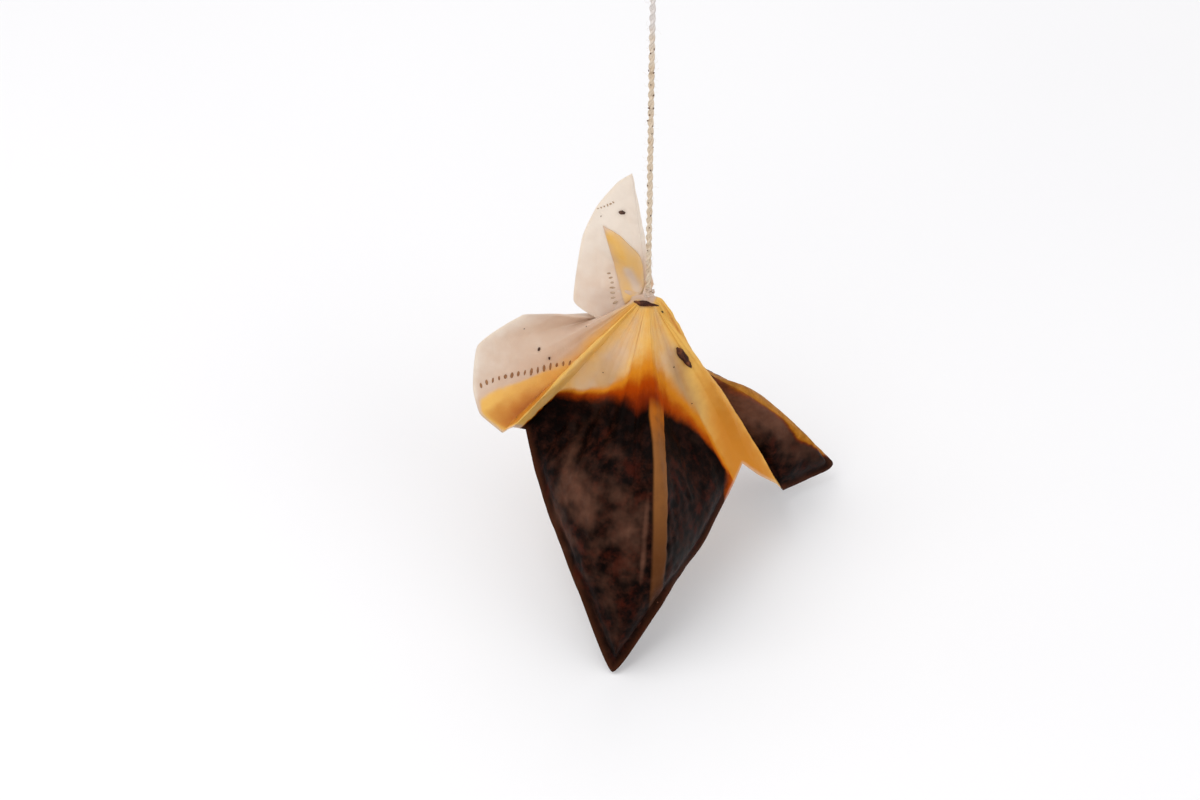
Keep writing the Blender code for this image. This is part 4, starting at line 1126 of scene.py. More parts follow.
def flap_shape(bag):
    """The flap's slab: points, faces and levels, lying just off the ear's front."""
    rows, columns = FLAP_GRID
    knots = np.linspace(0, 1, len(FLAP_RIGHT))
    right, left = (np.column_stack([np.interp(np.linspace(0, 1, rows), knots, line)
                                    for line in np.array(edge).T])
                   for edge in (FLAP_RIGHT, FLAP_LEFT))
    patch, patch_end = np.array(PALE_PATCH)
    run = patch_end - patch
    front, back, soak, rim_gap_for_highlight = [], [], [], []
    for k, s in enumerate(np.linspace(0, 1, rows)):
        tall = sin(pi * min(1, s + FLAP_POINT)) * (1 - FLAP_LOWERS * s)
        for t in np.linspace(0, 1, columns):
            x, z = left[k] + (right[k] - left[k]) * t
            y = bag.nearest_front(x, z, *FLAP_GUIDES)
            arch = sin(pi * t)
            crown = FLAP_OFF + FLAP_ARCH * arch ** FLAP_SQUARE * tall
            crown += FLAP_WAVE * noise.noise(
                Vector((x * FLAP_RATES[0], 3.0, z * FLAP_RATES[1])))
            front.append((x, y - crown, z))
            back.append((x, y - FLAP_BACK - BACK_ARCH * crown * arch, z))
            along = np.clip((np.array((x, z)) - patch) @ run / (run @ run), 0, 1)
            off = np.linalg.norm(patch + run * along - (x, z))
            pale_patch = np.exp(-(off / PALE_HALF) ** 2)
            near_point = max(0, 1 - s / FLAP_POINT)
            soak.append(FLAP_SOAK - PATCH_LESS * pale_patch - POINT_LESS * near_point
                        - LEFT_LESS * (1 - t) ** SIDE_KEEPS - RIGHT_LESS * t ** SIDE_KEEPS)
            # A low rim gap paints the rim's highlight on the patch and towards the right side.
            rim_gap_for_highlight.append(FLAP_RIM * (1 - pale_patch) * (1 - SIDE_HIGHLIGHT * t ** SIDE_KEEPS))
    level = np.zeros(2 * rows * columns)
    return (front + back, slab_faces(rows, columns),
            {"soak": soak * 2, "leaf_depth": level + NO_LEAF, "burnt": level,
             "rim_gap": rim_gap_for_highlight * 2, "ridge": level, "veil": level})


# ------------------------------------------------------------ finishes

def paper_finish(sizes):
    """Wet filter paper: pale, soaked, burnt and dark over the leaves."""
    paper = Finish("wet_filter_paper")
    soak = paper.attribute("soak")
    depth = paper.attribute("leaf_depth")
    burnt = paper.attribute("burnt")
    gap = paper.attribute("rim_gap")
    ridge = paper.attribute("ridge")
    veil = paper.attribute("veil")
    broad = paper.noise(4.5 * MM, detail=2)
    middling = paper.noise(1.6 * MM, detail=4, roughness=0.6)
    fine = paper.noise(0.35 * MM, detail=5, roughness=0.65)
    fibres = paper.noise(0.16 * MM, detail=3, squeeze=(1.0, 0.35, 0.6), twist=0.6)

    # Clear of the leaves: pale, damp, soaked and rich by how much tea is in it, with the damp wing
    # darkened by painted shade, then greyed by painted shade, and burnt above the leaves.
    level = soak + (broad - 0.5) * 0.3 + (middling - 0.5) * 0.18
    pale = paper.blend(fine.rise(0.45, 0.75) * 0.25, sizes.pale, tint(250, 244, 236))
    base = paper.blend(level.rise(0.0, 0.42), pale, sizes.damp_and_shade)
    soaked = paper.blend(middling.rise(0.35, 0.8) * 0.35, sizes.soaked, tint(240, 178, 84))
    base = paper.blend(level.rise(0.42, 0.84), base, soaked)
    base = paper.blend(level.rise(0.92, 1.35), base, tint(214, 136, 36))
    painted_shade = (veil + (middling - 0.5) * 0.3).rise(0.1, 1.0)
    base = paper.blend(painted_shade * 0.9, base, tint(180, 142, 102))
    heat = burnt + (middling - 0.5) * 0.2 + (fine - 0.5) * 0.08
    base = paper.blend(heat.rise(0.06, 0.48), base, tint(214, 132, 28))
    base = paper.blend(heat.rise(0.45, 0.86), base, sizes.burnt)
    base = paper.blend(heat.rise(0.84, 1.05) * 0.9, base, tint(116, 34, 4))

    # Over the leaves: chopped dark leaf with red patches and with hazed patches that are the wet
    # paper's milky veil and a painted sheen, black under its edge, paler at the seal, and the
    # pleat that stands over it.
    ragged = depth + (broad - 0.5) * 1.1 + (middling - 0.5) * 1.1 + (fine - 0.5) * 0.5
    over_leaf = ragged.rise(-1.5, 1.1)
    chopped = (fine * 0.3 + middling * 0.8).rise(0.45, 0.82)
    leaf = paper.blend(chopped * 0.7, sizes.dark_leaf, sizes.light_leaf)
    red = paper.noise(2.8 * MM, detail=3).rise(0.52, 0.74)
    leaf = paper.blend(red * 0.5, leaf, tint(72, 24, 12))
    # Painted sheen: grey haze over the dark leaf, laid together with the paper's milky veil.
    cloud = paper.noise(3.6 * MM, detail=3, roughness=0.5)
    haze_and_sheen = (veil + (cloud - 0.5) * 1.1).rise(0.32, 1.12)
    hazed_sheen_colour = paper.blend(chopped * 0.5, tint(112, 75, 59), tint(71, 39, 28))
    leaf = paper.blend(haze_and_sheen * 0.85, leaf, hazed_sheen_colour)
    near_top = 1 - (depth + (broad - 0.5) * 3).rise(1.0, 8.0)
    leaf = paper.blend(near_top * (1 - veil) * 0.9, leaf, tint(6, 2, 1))
    seal = 1 - (gap + (middling - 0.5) * 1.6 + (broad - 0.5)).rise(0.1, 1.4)
    leaf = paper.blend(seal * 0.4, leaf, tint(92, 50, 30))
    pleat = paper.blend(depth.rise(0.0, 6.0), tint(176, 98, 26), sizes.pleat)
    pleat = paper.blend(depth.rise(10.0, 24.0) * 0.8, pleat, tint(76, 40, 18))
    pleat = paper.blend(middling.rise(0.4, 0.7) * 0.35, pleat, tint(104, 66, 38))
    leaf = paper.blend(ridge * 0.9, leaf, pleat)
    base = paper.blend(over_leaf, base, leaf)

    # A painted highlight pales the rim where it is clear, and the wet paper lets some light
    # through.
    rim_highlight = 1 - gap.rise(0.05, 0.6)
    base = paper.blend(rim_highlight * (1 - over_leaf) * 0.35, base, tint(250, 236, 216))
    rough = 0.56 - level.rise(0.2, 1.0) * 0.1 - over_leaf * 0.06 + (fine - 0.5) * 0.22
    height = fibres * 0.35 + fine * 0.4 + middling * 0.25
    bumps = paper.bump(height, 0.10 * MM, 0.55)
    paper.surface(Base_Color=base, Roughness=rough.held(), Normal=bumps, IOR=1.4,
                  Specular_IOR_Level=0.03)
    clear = (1 - over_leaf) * (1 - heat.rise(0.1, 0.7) * 0.8)
    paper.let_light_through(clear * (0.36 - level.rise(0.2, 1.0) * 0.14), tint(252, 240, 222))
    return paper.material


def leaf_finish(sizes):
    """Wet cut leaf, near black with brown stalks."""
    leaf = Finish("wet_cut_leaf")
    patches = leaf.noise(1.1 * MM, detail=4, roughness=0.6)
    veins = leaf.noise(0.22 * MM, detail=3, squeeze=(1.0, 0.3, 1.0))
    base = leaf.blend(patches.rise(0.45, 0.72), sizes.dark, sizes.light)
    base = leaf.blend(veins.rise(0.55, 0.75) * 0.35, base, tint(132, 88, 58))
    rough = 0.42 + veins * 0.25
    leaf.surface(Base_Color=base, Roughness=rough, Specular_IOR_Level=0.22,
                 Normal=leaf.bump(veins + patches, 0.06 * MM, 0.7))
    return leaf.material


FIBRES_ROUND = 6  # bundles of fibres seen round a strand


def cotton_finish(name, stained_colour, clean_colour, stain_top):
    """Twisted cotton, tan where tea has climbed it."""
    cotton = Finish(name)
    turn = cotton.attribute("thread_turn")
    height = cotton.node("ShaderNodeSeparateXYZ", {}, {0: cotton.coords}, "Z")
    top = float(TIE.z + stain_top)
    wick = cotton.noise(5.0 * MM, detail=3)
    stained = 1 - (height + (wick - 0.5) * (14 * MM)).rise(top - 4 * MM, top + 5 * MM)
    fine = cotton.noise(0.18 * MM, detail=4, roughness=0.65)
    blotch = cotton.noise(1.7 * MM, detail=3)
    wave = cotton.node("ShaderNodeMath", {"operation": "SINE"}, {0: turn * (tau * FIBRES_ROUND)})
    fibres = wave * 0.5 + 0.5
    base = cotton.blend(stained, clean_colour, stained_colour)
    base = cotton.blend(blotch.rise(0.48, 0.72) * stained * 0.55, base, tint(196, 160, 118))
    # Painted shade: darker in the grooves between the fibre bundles, where the bump is low.
    base = cotton.blend((1 - fibres * fine.rise(0.2, 0.7)) * 0.22, base, tint(168, 138, 108))
    specks = cotton.noise(0.42 * MM, detail=2).rise(0.71, 0.78)
    base = cotton.blend(specks * stained, base, tint(112, 66, 34))
    rough = 0.72 + fine * 0.2
    cotton.surface(Base_Color=base, Roughness=rough, Specular_IOR_Level=0.3,
                   Normal=cotton.bump(fibres * 0.6 + fine * 0.6, 0.05 * MM, 0.8))
    return cotton.material


def card_finish(sizes):
    """Unprinted card with a dried splash along its foot."""
    card = Finish("plain_tag_card")
    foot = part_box("paper_tag")[0].z
    height = card.node("ShaderNodeSeparateXYZ", {}, {0: card.coords}, "Z")
    cloud = card.noise(6 * MM, detail=4)
    fine = card.noise(0.3 * MM, detail=5, roughness=0.7)
    pulp = card.noise(0.9 * MM, detail=4, squeeze=(1.0, 1.0, 0.35), twist=0.8)
    splash = 1 - (height + (cloud - 0.5) * (9 * MM)).rise(foot + 1.5 * MM, foot + 3.6 * MM)
    ring = splash * (1 - splash) * 4
    base = card.blend(pulp.rise(0.35, 0.75) * 0.35, sizes.plain, tint(228, 220, 202))
    base = card.blend(fine.rise(0.62, 0.72) * 0.3, base, tint(206, 190, 164))
    base = card.blend(splash * 0.35 + ring * 0.4, base, sizes.splash)
    rough = 0.62 + fine * 0.22
    card.surface(Base_Color=base, Roughness=rough, Specular_IOR_Level=0.35,
                 Normal=card.bump(fine * 0.5 + pulp * 0.6, 0.04 * MM, 0.6))
    return card.material


def dried_tea_finish(name, main, darker):
    """Brown tea dried into the crimp's marks and into dust."""
    tea = Finish(name)
    patches = tea.noise(0.5 * MM, detail=4)
    grain = tea.noise(0.09 * MM, detail=3)
    base = tea.blend(patches.rise(0.35, 0.7), main, darker)
    base = tea.blend(grain.rise(0.55, 0.75) * 0.3, base, tint(168, 120, 84))
    tea.surface(Base_Color=base, Roughness=0.5 + grain * 0.3,
                Normal=tea.bump(grain, 0.02 * MM, 0.6))
    return tea.material


# ------------------------------------------------------------ operators

# Grains on the string: height above the tie in millimetres, how far round to the side
# (-1 to 1), and size in millimetres.
STRING_DUST = ((45.0, 0.75, 0.30), (44.4, -0.4, 0.26), (41.5, -0.9, 0.36), (41.2, 0.7, 0.34),
               (37.2, 0.6, 0.34), (35.2, -0.5, 0.36), (35.1, 0.7, 0.34), (34.0, -0.3, 0.28),
               (32.7, -0.95, 0.36), (32.0, 0.5, 0.24), (30.6, 0.4, 0.26), (24.3, 0.1, 0.30),
               (18.3, -0.5, 0.26), (15.9, 0.5, 0.30), (13.8, 0.0, 0.26), (9.4, -0.4, 0.22),
               (28.2, 0.9, 0.22), (21.4, -0.8, 0.24), (39.2, -0.2, 0.22))
SUNK_IN = 0.9  # how far out of the string a grain's middle lies, as a share of its radius
# How the string is built: length of a step, how far it wanders and how quickly, and points
# round a strand.  Every third point of its path is handed on.
STRING_STEP, WANDER, WANDER_RATE, STRAND_SIDES, PATH_SKIP = 0.11 * MM, 0.05, 0.13, 10, 3
# A loose fibre as it is made, before it is sized: its reach, its radius, how far it tilts
# and the least share of its length.
HAIR_LENGTH, FIBRE_RADIUS, HAIR_TILT, HAIR_LEAST = 0.9 * MM, 0.012 * MM, 1.2, 0.25
# How far the string's own foot runs down inside the turns of the tie.
FOOT_INSIDE = 2.5 * MM


class TEABAG_OT_string(Operator):
    """Make the taut twisted string, its loose fibres and the tea dust on it"""

    bl_idname = "teabag.string"
    bl_label = "Twisted string"

    def execute(self, context):
        sizes = context.scene.tea_bag_string
        thread = sizes.diameter / MM
        low, high = STRING_LOW.z - FOOT_INSIDE, STRING_HIGH.z
        heights = np.linspace(low, high, int((high - low) / STRING_STEP)) / MM - TIE.z / MM
        path = np.array([(*(WANDER * noise.noise(Vector((z * WANDER_RATE, across, 0.0)))
                            for across in (1.0, 9.0)), z) for z in heights])
        points, faces, levels = twisted_pair(path, thread, sizes.twist_pitch / MM, STRAND_SIDES)
        finish = cotton_finish("stained_cotton", sizes.stained, sizes.clean, sizes.stain_top)
        string = new_piece("twisted_string", place(points), faces, finish, levels)

        fibres = self.loose_fibres(string.data, sizes, finish)
        dust = self.caught_dust(thread / 2)
        for piece in (string, fibres, dust):
            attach(piece, "root")
        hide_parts("string")
        return {"FINISHED"}

    @staticmethod
    def caught_dust(string_half):
        """Grains of tea caught on the string where it has been in the cup."""
        heights, aside, wide = np.array(STRING_DUST).T
        level = np.zeros(len(heights))
        out = np.column_stack([aside, -np.sqrt(1 - aside ** 2), level])
        middles = np.column_stack([level, level, heights])
        grains = spots_mesh("caught_dust", place(middles + out * string_half * SUNK_IN),
                            {"out_of_paper": out}, {"wide": wide * MM})
        finish = dried_tea_finish("caught_tea", tint(120, 84, 60), tint(70, 44, 32))
        return grown(speck_tree(finish, DUST_SEED), grains, "string_dust")

    @staticmethod
    def loose_fibres(source, sizes, finish):
        tree = Tree("loose_fibres", finish, FIBRE_SEED, Density=sizes.fibre_density,
                    Length=sizes.fibre_length, Thickness=FIBRE_RADIUS)
        hair = tree.add("GeometryNodeCurvePrimitiveBezierSegment", Resolution=5,
                        Start=(0, 0, 0), Start_Handle=(0, 0, 0.5 * MM),
                        End_Handle=(0.4 * MM, 0, 0.8 * MM), End=(HAIR_LENGTH, 0, 0.6 * MM))
        ring = tree.add("GeometryNodeCurvePrimitiveCircle", Resolution=3,
                        Radius=tree.given["Thickness"])
        tube = tree.add("GeometryNodeCurveToMesh", Curve=hair.outputs[0],
                        Profile_Curve=ring.outputs[0], Fill_Caps=True)
        tree.finish(tree.strewn(tube.outputs[0], HAIR_TILT, HAIR_LEAST, HAIR_LENGTH))
        return grown(tree, source, "string_fibres")


# The string's turns round the neck: heights of the first and the last, the radius they lie
# on a share of the way down, points in a turn, run of string in one turn of its strands,
# and points round a strand and along the whole.
WRAP_TOP, WRAP_FOOT = 2.2, 0.8
WRAP_DOWN = (0.0, 0.3, 0.6, 1.0)
WRAP_RADII = (0.10, 0.20, 0.34, 0.50)
WRAP_POINTS, WRAP_TWIST, WRAP_SIDES, WRAP_STEPS = 64, 1.4, 8, 560
WRAP_SMOOTHINGS = 3
# It runs a little unevenly outwards and down: how far, and how many times a turn.
UNEVEN_OUT, OUT_RATE, UNEVEN_DOWN, DOWN_RATE = 0.03, 2.3, 0.05, 1.7
# Its end is tucked back up inside: shares of where the last turn ends, and shifts from it.
TUCKED = (((1.0, 1.0, 1.0), (0.25, 0.1, 0.25)), ((0.8, 0.8, 1.0), (0.35, -0.1, 0.6)),
          ((0.6, 0.6, 1.0), (0.35, -0.25, 1.0)))


class TEABAG_OT_tie(Operator):
    """Make the turns of string wound tight round the neck"""

    bl_idname = "teabag.tie"
    bl_label = "Neck tie"

    def execute(self, context):
        sizes = context.scene.tea_bag_tie
        thread = sizes.thread / MM
        angles = np.linspace(0, tau * sizes.wraps, WRAP_POINTS * sizes.wraps)
        down = np.linspace(0, 1, len(angles))
        out = (np.interp(down, WRAP_DOWN, WRAP_RADII)
               * (1 + UNEVEN_OUT * np.sin(angles * OUT_RATE)) + thread / 2)
        heights = (WRAP_TOP + (WRAP_FOOT - WRAP_TOP) * down
                   + UNEVEN_DOWN * np.sin(angles * DOWN_RATE))
        route = np.column_stack([out * np.cos(angles), out * np.sin(angles), heights])
        tucked = [route[-1] * kept + shift for kept, shift in np.array(TUCKED)]
        smooth = self.smoothed(np.concatenate([route, tucked]), WRAP_STEPS)
        points, faces, levels = twisted_pair(smooth, thread, WRAP_TWIST, WRAP_SIDES)
        cotton = context.scene.tea_bag_string
        finish = cotton_finish("tied_cotton", sizes.stained, cotton.clean, cotton.stain_top)
        tie = new_piece("neck_thread", place(points), faces, finish, levels)
        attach(tie, "root")
        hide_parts("neck_tie")
        return {"FINISHED"}

    @staticmethod
    def smoothed(route, count):
        """The route resampled evenly along a smooth line."""
        for _ in range(WRAP_SMOOTHINGS):
            inner = 0.25 * route[:-2] + 0.5 * route[1:-1] + 0.25 * route[2:]
            route = np.concatenate([route[:1], inner, route[-1:]])
            middle = (route[:-1] + route[1:]) / 2
            woven = np.empty((len(route) + len(middle), 3))
            woven[0::2], woven[1::2] = route, middle
            route = woven
        steps = np.concatenate([[0], np.cumsum(np.linalg.norm(np.diff(route, axis=0), axis=1))])
        even = np.linspace(0, steps[-1], count)
        return np.stack([np.interp(even, steps, route[:, k]) for k in range(3)], axis=1)


# The tag's grid: points up one leaf, round the fold and across.
LEAF_POINTS, FOLD_POINTS, CARD_POINTS = 36, 15, 33
CARD_CORNER = 1.6  # radius of the card's lower corners, in mm
# The share of its half width that stays flat and how much less it curls at the top; how
# deep and how quick its slow waves are and how far out they are full; and how far from the
# middle of the fold both start.
CARD_CURL_FROM, CARD_CURL_LESS = 0.35, 0.8
CARD_WAVE, CARD_WAVE_RATE, CARD_WAVE_FULL, CARD_FOLD = 0.05, 0.16, 6, 0.5
CARD_SHARP = radians(40)


class TEABAG_OT_tag(Operator):
    """Make the plain folded card tag that holds the string's far end"""

    bl_idname = "teabag.tag"
    bl_label = "Folded tag"

    def execute(self, context):
        sizes = context.scene.tea_bag_tag
        low, high = (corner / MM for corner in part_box("paper_tag"))
        middle = (low.y + high.y) / 2
        outside = (high.y - low.y) / 2
        top = high.z - outside
        half = (high.x - low.x) / 2
        points = []
        for radius in (outside, outside - sizes.card / MM):
            arch = self.arch(radius, low.z, top)
            points += [self.bowed(s, y, z, half, middle, low.z, top, sizes.bow / MM)
                       for s in np.linspace(-1, 1, CARD_POINTS) for y, z in arch]
        faces = slab_faces(CARD_POINTS, len(arch))
        tag = new_piece("folded_tag", np.array(points) * MM, faces, card_finish(sizes))
        tag.data.set_sharp_from_angle(angle=CARD_SHARP)
        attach(tag, "root")
        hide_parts("paper_tag")
        return {"FINISHED"}

    @staticmethod
    def arch(radius, foot, top):
        """The card's outline from the side, up one leaf, over the fold and down the other."""
        heights = np.linspace(foot, top, LEAF_POINTS)
        bends = np.linspace(0, pi, FOLD_POINTS + 2)[1:-1]
        return ([(radius, z) for z in heights]
                + [(radius * cos(a), top + radius * sin(a)) for a in bends]
                + [(-radius, z) for z in heights[::-1]])

    @staticmethod
    def bowed(s, y, z, half, middle, foot, top, bow):
        """A spot on the card, with its corners rounded and its sides curling a little."""
        below = max(0.0, CARD_CORNER - (z - foot))
        width = half - CARD_CORNER + (CARD_CORNER ** 2 - below ** 2) ** 0.5
        x = s * width
        up = (z - foot) / (top - foot)
        curl = (bow * max(0.0, abs(x) / half - CARD_CURL_FROM) ** 2
                * (1 - CARD_CURL_LESS * min(1, up)))
        wave = CARD_WAVE * noise.noise(Vector((x * CARD_WAVE_RATE, 0, z * CARD_WAVE_RATE)))
        away = (1 if y > 0 else -1) * min(1, abs(y) / CARD_FOLD)
        return x, middle + y + away * (curl + wave * min(1, abs(x) / CARD_WAVE_FULL)), z


class TEABAG_OT_paper(Operator):
    """Make the folded, gathered filter paper with its soaked ears and pouches"""

    bl_idname = "teabag.paper"
    bl_label = "Filter paper"

    def execute(self, context):
        sizes = context.scene.tea_bag_paper
        bag = Bag(sizes)
        points, faces = bag.mesh_data()
        more, more_faces, more_levels = flap_shape(bag)
        faces += [tuple(n + len(points) for n in face) for face in more_faces]
        levels = {name: np.concatenate([values, more_levels[name]])
                  for name, values in bag.levels().items()}
        paper = new_piece("folded_paper", place(points + more), faces, paper_finish(sizes),
                          levels)
        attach(paper, "root")
        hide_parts("filter_paper_bag")
        MADE["bag"] = bag
        return {"FINISHED"}


# How far a clump's core stays inside its solid, and its lumps; and a scrap's crumples.
DENT, DENTS = 0.28, ((-0.22, 0.5), (-0.15, 1.3))
CRUMPLES = ((0.16, 1.1), (0.10, 2.7), (0.05, 6))
# A cut leaf's shape, how far it tilts and the least share of its length.
FLAKE, FLAKE_TILT, FLAKE_LEAST = (1.0, 0.45, 0.12), 0.25, 0.35


class TEABAG_OT_leaves(Operator):
    """Make the two clumps of wet cut leaves inside the paper"""

    bl_idname = "teabag.leaves"
    bl_label = "Leaf clumps"

    def execute(self, context):
        sizes = context.scene.tea_bag_leaves
        finish = leaf_finish(sizes)
        for number, node in enumerate(("wet_leaves_front", "wet_leaves_rear")):
            tree = self.flake_tree(sizes, finish, LEAF_SEED + number)
            core = roughened(node, 2, -DENT, DENTS)
            clump = grown(tree, core, "leaf_clump_" + node.split("_")[-1])
            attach(clump, "root")
            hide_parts(node)
        return {"FINISHED"}

    @staticmethod
    def flake_tree(sizes, finish, seed):
        tree = Tree("cut_leaves", finish, seed, Density=sizes.density, Length=sizes.flake)
        ball = tree.add("GeometryNodeMeshIcoSphere", Radius=0.5, Subdivisions=1)
        flat = tree.add("GeometryNodeTransform", Geometry=ball.outputs[0], Scale=FLAKE)
        flakes = tree.strewn(flat.outputs[0], FLAKE_TILT, FLAKE_LEAST, 1.0)
        both = tree.add("GeometryNodeJoinGeometry")
        tree.group.links.new(flakes, both.inputs[0])
        tree.group.links.new(tree.given["Geometry"], both.inputs[0])
        return tree.finish(both.outputs[0])


class TEABAG_OT_scraps(Operator):
    """Make the two scraps of leaf stuck on the outside of the paper"""

    bl_idname = "teabag.scraps"
    bl_label = "Leaf scraps"

    def execute(self, context):
        finish = leaf_finish(context.scene.tea_bag_leaves)
        for node, name in (("leaf_scrap_neck", "neck_scrap"), ("leaf_scrap_band", "band_scrap")):
            mesh = roughened(node, 3, 0.0, CRUMPLES)
            mesh.shade_smooth()
            mesh.materials.clear()
            mesh.materials.append(finish)
            scrap = shown(name, mesh)
            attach(scrap, "root")
            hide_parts(node)
        return {"FINISHED"}


# Rows of crimp marks: guide number and reach of their ends and bends.
WING_ROW = ((11.65, 0.52), (11.45, 0.555), (11.2, 0.595), (10.92, 0.645), (10.68, 0.70),
            (10.46, 0.76), (10.3, 0.82), (10.18, 0.88), (10.06, 0.955))
EAR_ROW = ((3.4, 0.52), (3.45, 0.48), (3.55, 0.44), (3.75, 0.41), (4.0, 0.395), (4.45, 0.42))
EAR_DOTS = ((2.0, 0.975), (1.85, 0.955), (1.7, 0.93), (1.55, 0.91), (1.45, 0.895))
# Single specks: guide number, reach, and size in millimetres.
SPECKS = ((1.1, 0.76, 0.95), (9.85, 0.62, 0.6), (10.65, 0.58, 0.5), (25.0, 0.11, 0.5),
          (2.05, 0.9, 0.22), (12.2, 0.9, 0.2), (15.3, 0.42, 0.2), (22.2, 0.55, 0.22),
          (21.9, 0.35, 0.25), (1.6, 0.5, 0.2), (8.6, 0.8, 0.22), (10.1, 0.35, 0.2))
ROW_STEPS, ROW_SMOOTHINGS = 60, 6  # points along a row's line and how often it is smoothed
MARK_OFF, SPECK_OFF = 0.03, 0.04  # how far off the paper their middles lie, in mm
DOT_COUNT = 6
# A mark's height, and the least and the most of its length, width and height it is made with.
MARK_RISE = 0.07 * MM
MARK_LEAST, MARK_MOST = (0.55, 0.6, 0.8), (1.1, 1.15, 1.2)


class TEABAG_OT_marks(Operator):
    """Make the crimping wheel's brown marks and the specks of tea on the paper"""

    bl_idname = "teabag.marks"
    bl_label = "Crimps and specks"

    def execute(self, context):
        sizes = context.scene.tea_bag_marks
        brown = dried_tea_finish("dried_tea", sizes.brown, tint(132, 88, 54))
        faint = dried_tea_finish("faint_tea", sizes.faint, tint(158, 128, 98))
        dark = dried_tea_finish("tea_dust", tint(84, 52, 34), tint(44, 24, 16))
        bag = MADE["bag"]
        # Each row's name and line, how many marks, their scale and slant, and their finish.
        rows = (("wing_crimps", WING_ROW, sizes.wing_count, 1.0, 0.35, brown),
                ("ear_crimps", EAR_ROW, sizes.ear_count, 0.7, 0.0, faint),
                ("ear_dots", EAR_DOTS, DOT_COUNT, 0.35, 0.0, faint))
        for name, spots, number, scale, slant, finish in rows:
            tree = self.row_tree(sizes, finish, number, scale)
            row = grown(tree, self.row_mesh(bag, name, spots, slant), name)
            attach(row, "root")
        grains = self.speck_mesh(bag)
        specks = grown(speck_tree(dark, SPECK_SEED), grains, "tea_specks")
        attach(specks, "root")
        return {"FINISHED"}

    @staticmethod
    def row_mesh(bag, name, spots, slant):
        """The row's line on the paper, with the way out of the paper and across the row."""
        steps = np.linspace(0, len(spots) - 1, ROW_STEPS)
        guides, reaches = (np.interp(steps, range(len(spots)), line) for line in zip(*spots))
        points, normals = (np.array(found) for found in zip(*map(bag.spot, guides, reaches)))
        for _ in range(ROW_SMOOTHINGS):
            points[1:-1] = (points[:-2] + 2 * points[1:-1] + points[2:]) / 4
            normals[1:-1] = unit(normals[:-2] + 2 * normals[1:-1] + normals[2:])
        way = unit(np.gradient(points, axis=0))
        across = unit(np.cross(normals, way) + slant * way)
        return spots_mesh(name, place(points + normals * MARK_OFF),
                          {"out_of_paper": normals, "across_row": across},
                          edges=[(k, k + 1) for k in range(len(points) - 1)])

    @staticmethod
    def row_tree(sizes, finish, number, scale):
        tree = Tree("crimp_row", finish, ROW_SEED, Count=number,
                    Length=sizes.crimp_length * scale,
                    Width=sizes.crimp_width * (0.5 + 0.5 * scale), Rise=MARK_RISE)
        line = tree.add("GeometryNodeMeshToCurve", Mesh=tree.given["Geometry"])
        even = tree.add("GeometryNodeResampleCurve", Curve=line.outputs[0],
                        Count=tree.given["Count"])
        up = tree.add("FunctionNodeAlignRotationToVector", {"axis": "Z"},
                      Vector=tree.read("out_of_paper"))
        aim = tree.add("FunctionNodeAlignRotationToVector", {"axis": "X", "pivot_axis": "Z"},
                       Rotation=up.outputs[0], Vector=tree.read("across_row"))
        dash = tree.add("GeometryNodeMeshIcoSphere", Radius=0.5, Subdivisions=2)
        wide = tree.add("ShaderNodeCombineXYZ", X=tree.given["Length"], Y=tree.given["Width"],
                        Z=tree.given["Rise"])
        sized = tree.add("GeometryNodeTransform", Geometry=dash.outputs[0], Scale=wide.outputs[0])
        marks = tree.add("GeometryNodeInstanceOnPoints", Points=even.outputs[0],
                         Instance=sized.outputs[0], Rotation=aim.outputs[0],
                         Scale=tree.random(MARK_LEAST, MARK_MOST))
        return tree.finish(marks.outputs[0])

    @staticmethod
    def speck_mesh(bag):
        guides, reaches, wide = np.array(SPECKS).T
        points, normals = (np.array(found) for found in zip(*map(bag.spot, guides, reaches)))
        return spots_mesh("specks", place(points + normals * SPECK_OFF),
                          {"out_of_paper": normals}, {"wide": wide * MM})


# The camera's spot in millimetres from the tie, its tilt up from straight down, the width of
# its sensor in millimetres and the nearest it sees in metres.
CAMERA_SPOT, CAMERA_TILT, SENSOR, NEAREST = (-7.16, -306.83, 258.62), radians(47.7), 36.0, 0.01
# Soft square lights: name, spot in metres from the tie, width, and the setting of its power.
LIGHTS = (("key_light", (-0.22, -0.10, 0.42), 0.42, "key_power"),
          ("fill_light", (0.34, -0.22, 0.22), 0.40, "fill_power"),
          ("back_light", (0.05, 0.45, 0.30), 0.40, "fill_power"))
ROOM = (0.98, 0.985, 1.0, 1.0)  # the white room's colour
FLOOR_HALF = 1.6  # half the floor's width in metres


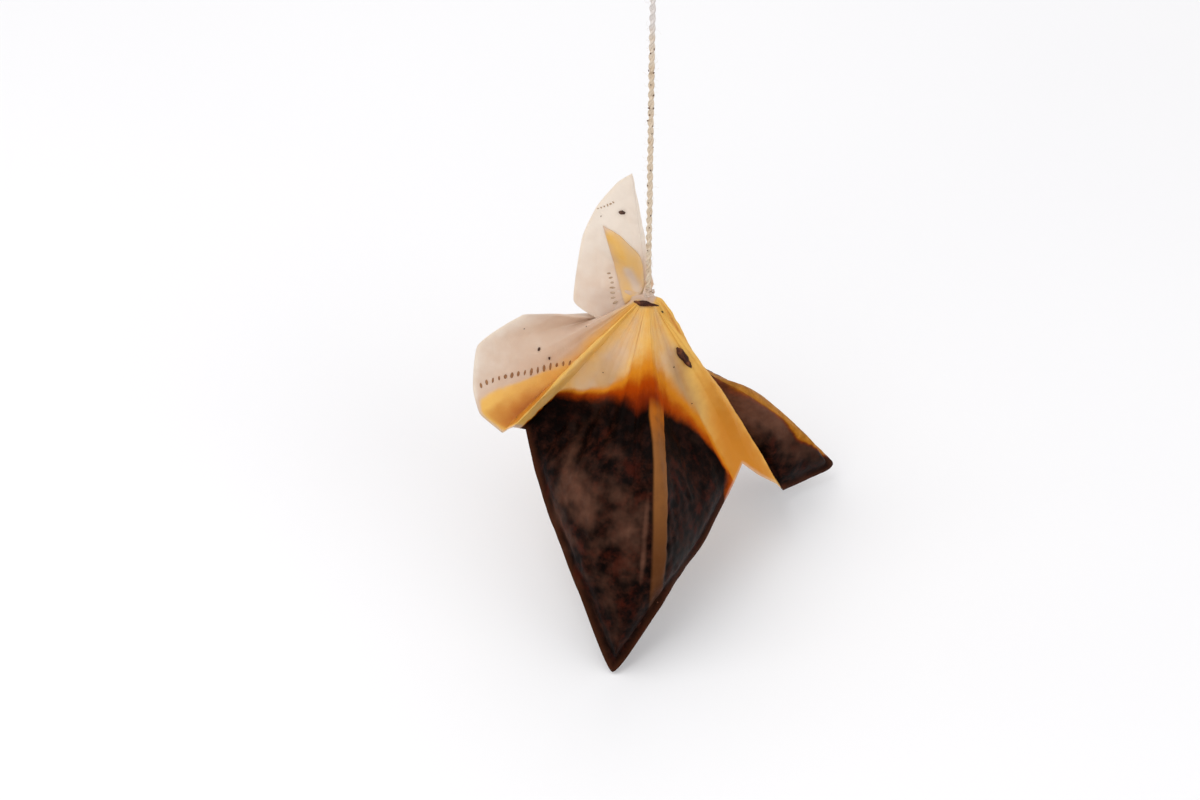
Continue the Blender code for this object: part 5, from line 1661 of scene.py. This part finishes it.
class TEABAG_OT_stage(Operator):
    """Set the camera, the pale floor and the soft lights"""

    bl_idname = "teabag.stage"
    bl_label = "Stage"

    def execute(self, context):
        scene = context.scene
        sizes = scene.tea_bag_stage
        camera = bpy.data.objects.new("camera", bpy.data.cameras.new("camera"))
        camera.data.lens = sizes.lens
        camera.data.sensor_width = SENSOR
        camera.data.clip_start = NEAREST
        camera.location = place(CAMERA_SPOT)
        camera.rotation_euler = (CAMERA_TILT, 0.0, 0.0)
        scene.collection.objects.link(camera)
        scene.camera = camera

        self.floor(scene, sizes, CAD_BOX[0].z - sizes.floor_gap)
        for name, spot, wide, power in LIGHTS:
            self.light(scene, name, Vector(spot), wide, getattr(sizes, power))
        world = bpy.data.worlds.new("white_room")
        world.use_nodes = True
        air = world.node_tree.nodes["Background"]
        air.inputs["Color"].default_value = ROOM
        air.inputs["Strength"].default_value = sizes.air
        scene.world = world
        scene.view_settings.view_transform = "Standard"
        return {"FINISHED"}

    @staticmethod
    def floor(scene, sizes, ground):
        mesh = bpy.data.meshes.new("floor")
        corners = ((-1, -1), (1, -1), (1, 1), (-1, 1))
        mesh.from_pydata([(x * FLOOR_HALF, y * FLOOR_HALF, ground) for x, y in corners], [],
                         [(0, 1, 2, 3)])
        finish = Finish("pale_floor")
        cloud = finish.noise(0.12, detail=2)
        finish.surface(Base_Color=finish.blend(cloud, sizes.floor, tint(242, 241, 242)),
                       Roughness=0.65, Specular_IOR_Level=0.2)
        mesh.materials.append(finish.material)
        floor = bpy.data.objects.new("floor", mesh)
        scene.collection.objects.link(floor)

    @staticmethod
    def light(scene, name, spot, wide, power):
        lamp = bpy.data.lights.new(name, "AREA")
        lamp.size = wide
        lamp.energy = power
        made = bpy.data.objects.new(name, lamp)
        made.location = TIE + spot
        made.rotation_euler = (TIE - made.location).to_track_quat("-Z", "Y").to_euler()
        scene.collection.objects.link(made)


class TEABAG_PT_panel(Panel):
    """The sidebar's list of the tea bag's pieces"""

    bl_idname = "TEABAG_PT_panel"
    bl_label = "Used Tea Bag"
    bl_space_type = "VIEW_3D"
    bl_region_type = "UI"
    bl_category = "Tea Bag"

    def draw(self, context):
        for piece in OPERATORS:
            self.layout.operator(piece.bl_idname)
        for name, group in SETTINGS.items():
            box = self.layout.box()
            for field_name in group.__annotations__:
                box.prop(getattr(context.scene, name), field_name)


MADE = {}  # the dressed bag, kept for the marks that lie on its paper
OPERATORS = (TEABAG_OT_stage, TEABAG_OT_string, TEABAG_OT_tie, TEABAG_OT_tag, TEABAG_OT_paper,
             TEABAG_OT_leaves, TEABAG_OT_scraps, TEABAG_OT_marks)
CLASSES = (*SETTINGS.values(), *OPERATORS, TEABAG_PT_panel)


def register():
    for made in CLASSES:
        bpy.utils.register_class(made)
    for name, group in SETTINGS.items():
        setattr(bpy.types.Scene, name, PointerProperty(type=group))


def unregister():
    for name in SETTINGS:
        delattr(bpy.types.Scene, name)
    for made in reversed(CLASSES):
        bpy.utils.unregister_class(made)


def main():
    register()
    bpy.ops.teabag.stage()
    bpy.ops.teabag.tag()
    bpy.ops.teabag.string()
    bpy.ops.teabag.tie()
    bpy.ops.teabag.paper()
    bpy.ops.teabag.leaves()
    bpy.ops.teabag.scraps()
    bpy.ops.teabag.marks()
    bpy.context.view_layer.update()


if __name__ == "__main__":
    main()
